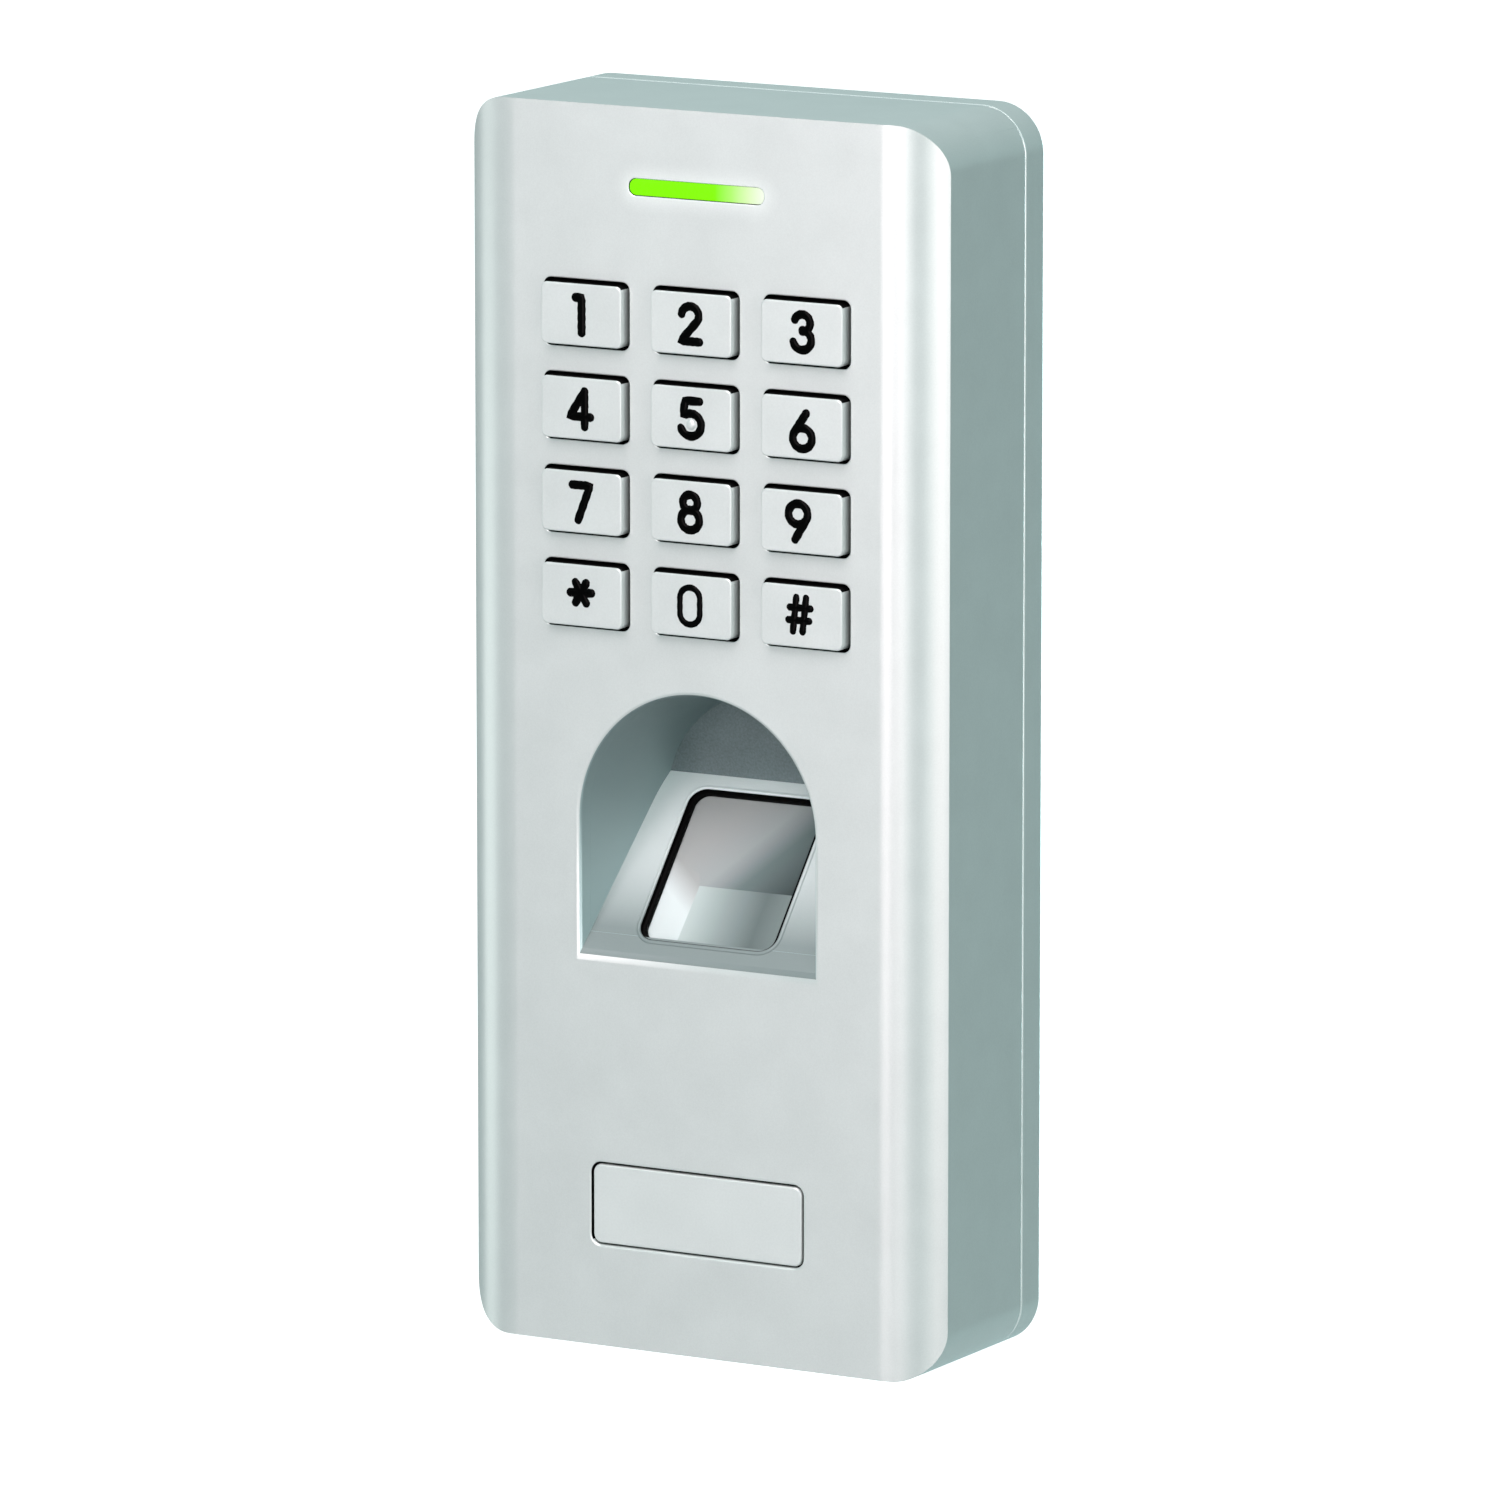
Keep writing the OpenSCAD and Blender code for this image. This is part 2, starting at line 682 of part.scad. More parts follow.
module cover_seal() {
    w = body_w - 2 * (wall_t - rebate) - 0.3;
    h = body_h - 2 * (wall_t - rebate) - 0.3;
    color(rubber_black) difference() {
        slab(w, h, corner_r - wall_t + rebate - 0.15, ledge_y, cover_y);
        slab(w - 1.7, h - 1.7, corner_r - wall_t, ledge_y - 1, cover_y + 1);
        for (sx = [-1, 1]) for (sz = [-1, 1]) {
            y_bore(3, sx * boss_x, sz * boss_z, ledge_y - 1, cover_y + 1);
        }
        box(-lug_half_w - 0.5, lug_half_w + 0.5, ledge_y - 1, cover_y + 1, -half_h, -half_h + wall_t + 1);
        for (sx = [-1, 1]) box(sx * hook_x - hook_half_w - 0.5, sx * hook_x + hook_half_w + 0.5,
                               ledge_y - 1, cover_y + 1, half_h - wall_t - 1, half_h);
    }
}

module cover_screws() {
    color(steel) for (sx = [-1, 1]) for (sz = [-1, 1]) {
        y_screw(sx * boss_x, sz * boss_z, cover_y + cover_t, 4.2, 1.4, 2, 8);
    }
}

module cable_grommet() {
    color(rubber_black) translate([0, 0, cable_z]) difference() {
        union() {
            y_rod(9.2, cover_y - 1.4, cover_y + cover_t + 1.2);
            y_rod(12, cover_y - 1.6, cover_y - 0.05);
            y_rod(12, cover_y + cover_t + 0.05, cover_y + cover_t + 1.4);
        }
        y_rod(cable_d, cover_y - 3, cover_y + cover_t + 3);
    }
}

// ---- wall plate ----

module wall_plate() {
    floor_t = 2;
    color(metal) difference() {
        union() {
            difference() {
                slab(body_w, body_h, corner_r, -rim_d, 0);
                slab(body_w - 2 * wall_t, body_h - 2 * wall_t, corner_r - wall_t, -rim_d - 1, -floor_t);
            }
            for (sz = [-1, 1]) translate([0, 0, sz * fix_pitch / 2]) y_rod(10, -3, -1);
            box(-lug_half_w, lug_half_w, lock_y - 3, -1, -half_h + wall_t + 0.3, -half_h + wall_t + 3.9);
            for (sx = [-1, 1]) box(sx * hook_x - hook_half_w, sx * hook_x + hook_half_w, cover_y - 2.6, -1,
                                   half_h - wall_t - 2, half_h - wall_t - 0.3);
        }
        for (sz = [-1, 1]) y_bore(fix_d, 0, sz * fix_pitch / 2, -4, 1);
        y_bore(cable_hole_d, 0, cable_z, -4, 1);
        translate([0, lock_y, -half_h]) cylinder(d = 2.5, h = 8);
    }
}

module lock_screw() {
    color(steel) translate([0, lock_y, -half_h]) difference() {
        union() {
            translate([0, 0, 0.1]) cylinder(d = 5.4, h = 0.9);
            translate([0, 0, 0.5]) cylinder(d = 2.5, h = 5.4);
        }
        translate([0, 0, -0.5]) cylinder(d = 2.2, h = 1.2, $fn = 6);
    }
}

front_housing();
finger_recess();
sensor_gasket();
sensor_prism();
sensor_body();
sensor_board();
sensor_camera();
sensor_lights();
sensor_screws();
recess_screws();
light_bar();
status_lights();
nameplate();
key_1();
key_2();
key_3();
key_4();
key_5();
key_6();
key_7();
key_8();
key_9();
key_star();
key_0();
key_hash();
keypad_mat();
keypad_board();
backlights();
board_pillars();
board_screws();
board_header();
main_board();
chips();
relay();
buzzer();
capacitors();
wire_header();
tamper_sensor();
sensor_ribbon();
rear_cover();
cover_seal();
cover_screws();
cable_grommet();
wall_plate();
lock_screw();
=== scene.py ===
import bpy
import bmesh
import json
import math
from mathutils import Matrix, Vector


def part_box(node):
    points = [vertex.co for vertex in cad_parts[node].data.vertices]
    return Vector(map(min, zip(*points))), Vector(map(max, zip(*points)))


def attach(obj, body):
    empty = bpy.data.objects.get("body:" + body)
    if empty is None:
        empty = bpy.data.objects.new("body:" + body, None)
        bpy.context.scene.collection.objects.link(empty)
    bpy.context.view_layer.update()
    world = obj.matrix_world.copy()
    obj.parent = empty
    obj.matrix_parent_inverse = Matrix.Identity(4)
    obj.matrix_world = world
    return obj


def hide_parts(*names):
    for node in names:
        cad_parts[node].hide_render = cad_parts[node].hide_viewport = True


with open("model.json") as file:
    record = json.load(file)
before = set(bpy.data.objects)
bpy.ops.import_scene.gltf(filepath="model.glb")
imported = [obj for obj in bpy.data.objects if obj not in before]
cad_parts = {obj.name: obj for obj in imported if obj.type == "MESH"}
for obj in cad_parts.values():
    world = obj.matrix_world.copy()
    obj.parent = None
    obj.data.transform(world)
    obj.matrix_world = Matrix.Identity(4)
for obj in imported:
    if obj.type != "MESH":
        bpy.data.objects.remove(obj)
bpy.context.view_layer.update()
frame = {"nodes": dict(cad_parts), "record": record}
scene = bpy.context.scene
MM = 0.001
V = Vector

# ---------------------------------------------------------------- sizes, all from the CAD frame
lo_h, hi_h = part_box("front_housing")
W2 = hi_h.x                                  # half width
H2 = hi_h.z                                  # half height
FRONT = lo_h.y                               # front plane
SEAM = hi_h.y                                # back edge of the housing
ROLL_R, ROLL_DROP, CORNER = 10.5 * MM, 3.35 * MM, 6 * MM
ROLL_X = W2 - math.sqrt(ROLL_R ** 2 - (ROLL_R - ROLL_DROP) ** 2)
ROLL_Y = FRONT + ROLL_R
WALL, FRONT_T, REBATE = 2.2 * MM, 2.0 * MM, 1.0 * MM
ARCH_R, ARCH_Z, SILL = 16.1 * MM, -10.85 * MM, -27.3 * MM
REC_D, REC_R = 17 * MM, 13.7 * MM
SLOPE = math.atan2(19.7, 17.0)
WIN_W, WIN_L, WIN_S = 18.8 * MM, 21.3 * MM, 2.7 * MM   # window: width, length, distance up from the sill
KEY_W, KEY_H, GAP = 11 * MM, 7.4 * MM, 0.35 * MM
POCKET_W, POCKET_H, POCKET_D = 29.1 * MM, 10.1 * MM, 0.7 * MM
BAR_L2, BAR_H = 9.15 * MM, 2.0 * MM          # light bar: half length, height
bar_lo, bar_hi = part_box("light_bar")
BAR_Z = (bar_lo.z + bar_hi.z) / 2
plate_lo, plate_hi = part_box("nameplate")
PLATE_Z = (plate_lo.z + plate_hi.z) / 2

# ---------------------------------------------------------------- camera
# angles, distance, aim and lens were fitted to the photo's straight edges, key grid and arch
cam_data = bpy.data.cameras.new("camera")
cam_data.sensor_width = 36
cam_data.lens = 305.6
cam_data.clip_start, cam_data.clip_end = 0.05, 60
cam = bpy.data.objects.new("camera", cam_data)
scene.collection.objects.link(cam)
scene.camera = cam
CAMERA_DISTANCE = 1.5087
YAW, PITCH = math.radians(29.58), math.radians(10.312)
BACK = V((math.sin(YAW) * math.cos(PITCH), -math.cos(YAW) * math.cos(PITCH), math.sin(PITCH)))
AIM = V((0.00731, FRONT, -0.00056))
cam.location = AIM + BACK * CAMERA_DISTANCE
cam.rotation_mode = "QUATERNION"
cam.rotation_quaternion = (-BACK).to_track_quat("-Z", "Y")


# ---------------------------------------------------------------- mesh helpers
def link(me, name):
    o = bpy.data.objects.new(name, me)
    scene.collection.objects.link(o)
    return o


def from_bm(bm, name):
    bmesh.ops.recalc_face_normals(bm, faces=bm.faces)
    me = bpy.data.meshes.new(name)
    bm.to_mesh(me)
    bm.free()
    return link(me, name)


def rounded(w, h, r, seg=8, cx=0.0, cz=0.0):
    """Rounded rectangle outline as (x, z) points, anticlockwise."""
    pts = []
    for sx, sz, a0 in ((1, 1, 0), (-1, 1, 90), (-1, -1, 180), (1, -1, 270)):
        for i in range(seg + 1):
            a = math.radians(a0 + 90 * i / seg)
            pts.append((cx + sx * (w / 2 - r) + r * math.cos(a), cz + sz * (h / 2 - r) + r * math.sin(a)))
    return pts


def loft(loops, name, close=True):
    """Skin over loops of 3D points with equal counts; caps on both ends."""
    bm = bmesh.new()
    rings = [[bm.verts.new(p) for p in loop] for loop in loops]
    n = len(rings[0])
    for a, b in zip(rings, rings[1:]):
        for i in range(n):
            bm.faces.new((a[i], a[(i + 1) % n], b[(i + 1) % n], b[i]))
    if close:
        bm.faces.new(rings[0])
        bm.faces.new(list(reversed(rings[-1])))
    return from_bm(bm, name)


def stacked(layers, name):
    """Solid through outlines of (x, z) points, each at its own y."""
    return loft([[V((x, y, z)) for x, z in pts] for pts, y in layers], name)


def prism_y(pts, y0, y1, name="cut"):
    return stacked([(pts, y0), (pts, y1)], name)


def prism_z(pts, z0, z1, name="cut"):
    return loft([[V((x, y, z)) for x, y in pts] for z in (z0, z1)], name)


def boolean(obj, cutter, op="DIFFERENCE"):
    m = obj.modifiers.new("b", "BOOLEAN")
    m.operation, m.object, m.solver = op, cutter, "EXACT"
    dg = bpy.context.evaluated_depsgraph_get()
    me = bpy.data.meshes.new_from_object(obj.evaluated_get(dg))
    obj.modifiers.clear()
    obj.data = me
    bpy.data.objects.remove(cutter)
    return obj


def edge_weights(obj, rule):
    """Merges the slivers round the arch, then sets each edge's bevel weight from rule(midpoint, degrees)."""
    me = obj.data
    bm = bmesh.new()
    bm.from_mesh(me)
    near_arch = [v for v in bm.verts if abs(v.co.x) < ARCH_R + 0.8 * MM and abs(v.co.z) < 30 * MM]
    bmesh.ops.remove_doubles(bm, verts=near_arch, dist=0.05 * MM)
    floats = bm.edges.layers.float
    layer = floats.get("bevel_weight_edge") or floats.new("bevel_weight_edge")
    for e in bm.edges:
        e[layer] = rule((e.verts[0].co + e.verts[1].co) / 2, math.degrees(e.calc_face_angle(0.0)))
    bm.to_mesh(me)
    bm.free()


def smooth(obj, sharp_angle, weighted=True):
    """Smooth shading that breaks at edges sharper than sharp_angle, in degrees."""
    obj.data.shade_smooth()
    obj.data.set_sharp_from_angle(angle=math.radians(sharp_angle))
    if weighted:
        obj.modifiers.new("n", "WEIGHTED_NORMAL").keep_sharp = True


def bevelled(obj, width, segments):
    """Rounds the edges that carry a weight; the clamp is off because it would shrink every bevel."""
    smooth(obj, 28, weighted=False)
    m = obj.modifiers.new("edge", "BEVEL")
    m.width, m.segments = width, segments
    m.limit_method = "WEIGHT"
    m.miter_outer = "MITER_ARC"
    m.use_clamp_overlap = False
    n = obj.modifiers.new("n", "WEIGHTED_NORMAL")
    n.keep_sharp, n.weight = True, 60


def on_slope(x, s, n):
    """Point in the slope's own frame: across, up the slope from the sill, out of the surface."""
    y = FRONT + s * math.cos(SLOPE) - n * math.sin(SLOPE)
    z = SILL + s * math.sin(SLOPE) + n * math.cos(SLOPE)
    return V((x, y, z))


def arch_loop(grow, y, bottom, seg=64):
    """Outline of the tapering arch at depth y."""
    r = ARCH_R + grow - (y - FRONT) * (ARCH_R - REC_R) / REC_D
    turns = [math.pi * i / seg for i in range(seg + 1)]
    pts = [V((r * math.cos(a), y, ARCH_Z + r * math.sin(a))) for a in turns]
    return pts + [V((-r, y, bottom)), V((r, y, bottom))]


def circle(r, cx, cy, seg):
    """Circle as points in whichever plane the caller uses."""
    turns = [2 * math.pi * t / seg for t in range(seg)]
    return [(cx + r * math.cos(a), cy + r * math.sin(a)) for a in turns]


# ---------------------------------------------------------------- materials
def nodes_of(name):
    m = bpy.data.materials.new(name)
    m.use_nodes = True
    nt = m.node_tree
    return m, nt, nt.nodes["Principled BSDF"]


def node(nt, kind, **k):
    n = nt.nodes.new(kind)
    for key, val in k.items():
        if key in n.inputs:
            n.inputs[key].default_value = val
        else:
            setattr(n, key, val)
    return n


def ramp(nt, stops):
    r = nt.nodes.new("ShaderNodeValToRGB")
    el = r.color_ramp.elements
    while len(el) > 1:
        el.remove(el[-1])
    el[0].position, el[0].color = stops[0][0], (*stops[0][1], 1)
    for p, c in stops[1:]:
        e = el.new(p)
        e.color = (*c, 1)
    return r


def grey(v, tint=(1, 1, 1)):
    return tuple(v * t for t in tint)


def object_xyz(nt):
    """Object-space position: the vector, and its X, Y and Z outputs."""
    co = node(nt, "ShaderNodeTexCoord")
    sep = node(nt, "ShaderNodeSeparateXYZ")
    nt.links.new(co.outputs["Object"], sep.inputs[0])
    return co.outputs["Object"], sep.outputs


def ramp_over(nt, value, low, high, stops):
    """Colour that runs through stops as value goes from low to high."""
    mr = node(nt, "ShaderNodeMapRange")
    mr.inputs["From Min"].default_value, mr.inputs["From Max"].default_value = low, high
    nt.links.new(value, mr.inputs[0])
    cr = ramp(nt, stops)
    nt.links.new(mr.outputs[0], cr.inputs[0])
    return cr.outputs[0]


def fine_relief(nt, b, vector, scale, detail, rough, bump):
    """Roughness and fine relief from one noise."""
    nz = node(nt, "ShaderNodeTexNoise", Scale=scale, Detail=detail)
    nt.links.new(vector, nz.inputs["Vector"])
    rr = node(nt, "ShaderNodeMapRange")
    rr.inputs["To Min"].default_value, rr.inputs["To Max"].default_value = rough
    nt.links.new(nz.outputs["Fac"], rr.inputs[0])
    nt.links.new(rr.outputs[0], b.inputs["Roughness"])
    bp = node(nt, "ShaderNodeBump", Strength=1.0, Distance=bump * MM)
    nt.links.new(nz.outputs["Fac"], bp.inputs["Height"])
    nt.links.new(bp.outputs[0], b.inputs["Normal"])


def surface(name, dark, light, rough=(0.35, 0.45), metallic=0.0, scale=900.0, bump=0.02, detail=6,
            coat=0.0, stretch=(1, 1, 1), spec=0.5):
    """General procedural finish: colour, roughness and fine relief from noise in object space."""
    m, nt, b = nodes_of(name)
    co = node(nt, "ShaderNodeTexCoord")
    mp = node(nt, "ShaderNodeMapping")
    mp.inputs["Scale"].default_value = stretch
    nt.links.new(co.outputs["Object"], mp.inputs["Vector"])
    n1 = node(nt, "ShaderNodeTexNoise", Scale=scale, Detail=detail, Roughness=0.55)
    n2 = node(nt, "ShaderNodeTexNoise", Scale=scale * 0.04, Detail=3.0)
    nt.links.new(mp.outputs[0], n1.inputs["Vector"])
    nt.links.new(mp.outputs[0], n2.inputs["Vector"])
    mix = node(nt, "ShaderNodeMath", operation="MULTIPLY_ADD")
    nt.links.new(n1.outputs["Fac"], mix.inputs[0])
    mix.inputs[1].default_value = 0.6
    half = node(nt, "ShaderNodeMath", operation="MULTIPLY")
    nt.links.new(n2.outputs["Fac"], half.inputs[0])
    half.inputs[1].default_value = 0.4
    nt.links.new(half.outputs[0], mix.inputs[2])
    cr = ramp(nt, [(0.3, dark), (0.7, light)])
    nt.links.new(mix.outputs[0], cr.inputs[0])
    nt.links.new(cr.outputs[0], b.inputs["Base Color"])
    rr = node(nt, "ShaderNodeMapRange")
    rr.inputs["From Min"].default_value, rr.inputs["From Max"].default_value = 0.3, 0.7
    rr.inputs["To Min"].default_value, rr.inputs["To Max"].default_value = rough
    nt.links.new(mix.outputs[0], rr.inputs[0])
    nt.links.new(rr.outputs[0], b.inputs["Roughness"])
    bp = node(nt, "ShaderNodeBump", Strength=1.0, Distance=bump * MM)
    nt.links.new(n1.outputs["Fac"], bp.inputs["Height"])
    nt.links.new(bp.outputs[0], b.inputs["Normal"])
    b.inputs["Metallic"].default_value = metallic
    b.inputs["Specular IOR Level"].default_value = spec
    if coat:
        b.inputs["Coat Weight"].default_value = coat
        b.inputs["Coat Roughness"].default_value = 0.12
    return m, nt, b


SILVER = (0.93, 1.0, 0.985)
mats = {}


def add(name, *a, **k):
    mats[name] = surface(name, *a, **k)[0]


def math_node(nt, op, a, b=None, clamp=False):
    n = node(nt, "ShaderNodeMath", operation=op)
    n.use_clamp = clamp
    for i, v in enumerate((a, b)):
        if v is None:
            continue
        if isinstance(v, (int, float)):
            n.inputs[i].default_value = v
        else:
            nt.links.new(v, n.inputs[i])
    return n.outputs[0]


def satin_paint():
    """Satin pearl paint, with a soft white glow on the face round the light bar."""
    reach, strength = 3.4 * MM, 0.25
    m, nt, b = surface("satin_paint", grey(0.64, SILVER), grey(0.70, SILVER), rough=(0.29, 0.33),
                       metallic=0.5, scale=5200.0, bump=0.0012, detail=3)
    xyz = object_xyz(nt)[1]
    along = math_node(nt, "SUBTRACT", math_node(nt, "ABSOLUTE", xyz["X"]), BAR_L2 - 1 * MM)
    dx = math_node(nt, "MAXIMUM", along, 0.0)
    dz = math_node(nt, "SUBTRACT", xyz["Z"], BAR_Z)
    squared = math_node(nt, "ADD", math_node(nt, "MULTIPLY", dx, dx), math_node(nt, "MULTIPLY", dz, dz))
    away = math_node(nt, "DIVIDE", math_node(nt, "SQRT", squared), reach)
    glow = math_node(nt, "POWER", math_node(nt, "SUBTRACT", 1.0, away, clamp=True), 1.6)
    front_only = math_node(nt, "LESS_THAN", xyz["Y"], FRONT + 0.6 * MM)
    glow = math_node(nt, "MULTIPLY", math_node(nt, "MULTIPLY", glow, front_only), strength)
    nt.links.new(glow, b.inputs["Emission Strength"])
    b.inputs["Emission Color"].default_value = (0.97, 1.0, 0.97, 1)
    return m


mats["satin_silver"] = satin_paint()
add("key_metal", grey(0.66, SILVER), grey(0.72, SILVER), rough=(0.29, 0.33), metallic=0.5,
    scale=4200.0, bump=0.0015)
add("plate_silver", grey(0.67, SILVER), grey(0.73, SILVER), rough=(0.29, 0.35), metallic=0.45,
    scale=3600.0, bump=0.0014)
# recess_back: the recess's back wall, a grey darkened as painted shade of the deep recess; the noise grain
# is its own texture
add("recess_back", grey(0.17, (0.75, 1.0, 1.03)), grey(0.27, (0.77, 1.0, 1.03)), rough=(0.42, 0.6),
    metallic=0.1,
    scale=3600.0, bump=0.03, detail=2)


def painted_shade_ramp(name, low_z, high_z, low, high, rough, bump=0.001, scale=3000.0):
    """Smooth finish whose colour runs from low to high up the object's Z: painted light and shade."""
    m, nt, b = surface(name, low, high, rough=rough, metallic=0.15, scale=scale, bump=bump)
    colour = ramp_over(nt, object_xyz(nt)[1]["Z"], low_z, high_z, [(0.0, low), (1.0, high)])
    nt.links.new(colour, b.inputs["Base Color"])
    mats[name] = m


# Painted light and shade in the recess: the slope's grey ramps up to painted light at its top, the arch
# walls' grey ramps down to painted shade under the arch top
painted_shade_ramp("recess_grey", SILL + 3 * MM, ARCH_Z + 2 * MM, grey(0.24, (0.80, 1.0, 0.99)),
       grey(0.98, (0.9, 1.0, 0.99)), (0.45, 0.6), 0.02, 3600.0)
painted_shade_ramp("recess_smooth", SILL, ARCH_Z + ARCH_R, grey(0.57, (0.75, 1.0, 1.0)),
       grey(0.188, (0.72, 1.0, 1.03)), (0.38, 0.46))
add("gasket_black", grey(0.001), grey(0.002), rough=(0.5, 0.7), scale=2500.0, bump=0.004, spec=0.06)
# near-white painted highlight for the wall plate's rim fillet by the seam
add("seam_painted_highlight", grey(0.96, SILVER), grey(0.99, SILVER), rough=(0.2, 0.26), metallic=0.5,
    scale=3000.0, bump=0.001)
# near-black painted shade for the gaps round the keys, the pocket and the other openings
add("gap_painted_shade", grey(0.0008), grey(0.0016), rough=(0.6, 0.8), scale=2500.0, bump=0.002, spec=0.05)
add("black_plastic", grey(0.012), grey(0.022), rough=(0.35, 0.5), scale=2200.0, bump=0.004)
add("board", (0.01, 0.09, 0.045), (0.015, 0.13, 0.065), rough=(0.25, 0.4), scale=900.0, bump=0.006, coat=0.4)
add("led", grey(0.75), grey(0.85), rough=(0.15, 0.25), scale=900.0, bump=0.002)
add("screw_steel", grey(0.45), grey(0.6), rough=(0.22, 0.38), metallic=1.0, scale=2600.0, bump=0.002,
    stretch=(1, 1, 0.1))
add("brass_pillar", (0.62, 0.42, 0.14), (0.74, 0.52, 0.2), rough=(0.2, 0.35), metallic=1.0,
    scale=1800.0, bump=0.002)
add("relay_blue", (0.01, 0.03, 0.16), (0.015, 0.045, 0.22), rough=(0.3, 0.42), scale=1400.0, bump=0.003)
add("can", grey(0.6), grey(0.7), rough=(0.2, 0.32), metallic=1.0, scale=1500.0, bump=0.001)
add("connector", grey(0.68), grey(0.76), rough=(0.4, 0.55), scale=1200.0, bump=0.003)
add("ribbon", (0.34, 0.16, 0.03), (0.42, 0.21, 0.045), rough=(0.2, 0.3), scale=700.0, bump=0.001,
    stretch=(1, 1, 0.02))
add("enamel", grey(0.0006), grey(0.0012), rough=(0.03, 0.06), scale=900.0, bump=0.002, spec=0.04)
add("glint", grey(0.9), grey(0.97), rough=(0.2, 0.3), scale=900.0, bump=0.001)


def status_bar():
    """Lit bar: green that fades to white at the right end."""
    green = (0.246, 0.985, 0.0015)
    m, nt, b = nodes_of("status_bar")
    vector, xyz = object_xyz(nt)
    colour = ramp_over(nt, xyz["X"], -BAR_L2, BAR_L2,
                       [(0.0, green), (0.64, green), (0.76, (0.46, 0.985, 0.17)),
                        (0.88, (0.74, 0.99, 0.50)), (1.0, (0.93, 1.0, 0.86))])
    fine_relief(nt, b, vector, 1500.0, 3.0, (0.2, 0.35), 0.002)
    nt.links.new(colour, b.inputs["Emission Color"])
    b.inputs["Emission Strength"].default_value = 1.0
    b.inputs["Base Color"].default_value = (0.004, 0.012, 0.001, 1)
    b.inputs["Specular IOR Level"].default_value = 0.1
    return m


def prism_glass():
    """Clear window."""
    m, nt, b = nodes_of("prism_glass")
    fine_relief(nt, b, object_xyz(nt)[0], 260.0, 4.0, (0.02, 0.07), 0.0006)
    b.inputs["Base Color"].default_value = (0.95, 0.96, 0.96, 1)
    b.inputs["Transmission Weight"].default_value = 1.0
    b.inputs["IOR"].default_value = 1.12
    b.inputs["Alpha"].default_value = 0.35
    return m


mats["status_bar"] = status_bar()
mats["prism_glass"] = prism_glass()


def painted_facet_light(name, stops, axis, a, z):
    """Facet seen inside the prism: painted light and reflection as a soft gradient along a direction in
    object space, which also glows.
    """
    m, nt, b = nodes_of(name)
    vector = object_xyz(nt)[0]
    dot = node(nt, "ShaderNodeVectorMath", operation="DOT_PRODUCT")
    nt.links.new(vector, dot.inputs[0])
    dot.inputs[1].default_value = axis
    colour = ramp_over(nt, dot.outputs["Value"], a, z, stops)
    fine_relief(nt, b, vector, 900.0, 3.0, (0.35, 0.5), 0.001)
    nt.links.new(colour, b.inputs["Base Color"])
    nt.links.new(colour, b.inputs["Emission Color"])
    b.inputs["Emission Strength"].default_value = 0.22
    b.inputs["Specular IOR Level"].default_value = 0.2
    return m


def paint_with(o, *names):
    o.data.materials.clear()
    for n in names:
        o.data.materials.append(mats[n] if isinstance(n, str) else n)


def place(o, body, slot_name, *replaced):
    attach(o, body)
    if replaced:
        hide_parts(*replaced)
    return o


# ---------------------------------------------------------------- front housing
def body_profile(r, back, seg=28):
    """Front profile seen from above, with rolled sides reaching past the walls."""
    pts = []
    for i in range(seg + 1):
        a = math.radians(90 + 62 * i / seg)
        pts.append((ROLL_X + r * math.cos(math.pi - a), ROLL_Y - r * math.sin(a)))
    right = sorted(pts, key=lambda p: p[0])
    left = [(-x, y) for x, y in reversed(right)]
    xo = right[-1][0]
    return [(-xo, back)] + left + right + [(xo, back)]


def outline(inset, seg):
    """The body's rounded outline, drawn in by inset."""
    return rounded(2 * (W2 - inset), 2 * (H2 - inset), CORNER - inset, seg)


def body_solid(inset, r, y0, y1, name):
    """Rounded outline filling y0 to y1, cut by the rolled profile."""
    s = prism_y(outline(inset, 24), y0, y1, name)
    return boolean(s, prism_z(body_profile(r, y1 + 1 * MM), -H2 - 2 * MM, H2 + 2 * MM), "INTERSECT")


housing = body_solid(0, ROLL_R, FRONT - 1 * MM, SEAM, "housing_shell")
cavity = prism_y(outline(WALL, 12), FRONT + FRONT_T, SEAM + 1 * MM)
inner = prism_z(body_profile(ROLL_R - FRONT_T, SEAM + 3 * MM), -H2 - 2 * MM, H2 + 2 * MM)
boolean(cavity, inner, "INTERSECT")
boolean(housing, cavity)
boolean(housing, prism_y(outline(WALL - REBATE, 12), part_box("cover_seal")[0].y, SEAM + 1 * MM))
key_names = ["key_%d" % i for i in range(1, 10)] + ["key_star", "key_0", "key_hash"]
KEY_AT = {}
for k in key_names:
    a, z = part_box(k)
    KEY_AT[k] = ((a.x + z.x) / 2, (a.z + z.z) / 2, a.y, z.y)
    x, zz = KEY_AT[k][:2]
    opening = rounded(KEY_W + 2 * GAP, KEY_H + 2 * GAP, 0.95 * MM, 5, x, zz)
    boolean(housing, prism_y(opening, FRONT - 2 * MM, FRONT + 3 * MM))
bar_slot = rounded(2 * BAR_L2, BAR_H, 0.9 * MM, 8, 0, BAR_Z)
boolean(housing, prism_y(bar_slot, FRONT - 2 * MM, FRONT + 3 * MM))
pocket = rounded(POCKET_W, POCKET_H, 1.3 * MM, 8, 0, PLATE_Z)
boolean(housing, prism_y(pocket, FRONT - 2 * MM, FRONT + POCKET_D))


def half_space(n):
    """Everything below the sloping floor, lowered by n."""
    start, end, reach, deep = -30 * MM, 60 * MM, 40 * MM, -50 * MM
    low = [on_slope(-reach, s, t) for s, t in ((start, -n), (end, -n), (end, deep), (start, deep))]
    return loft([low, [p + V((2 * reach, 0, 0)) for p in low]], "cut")


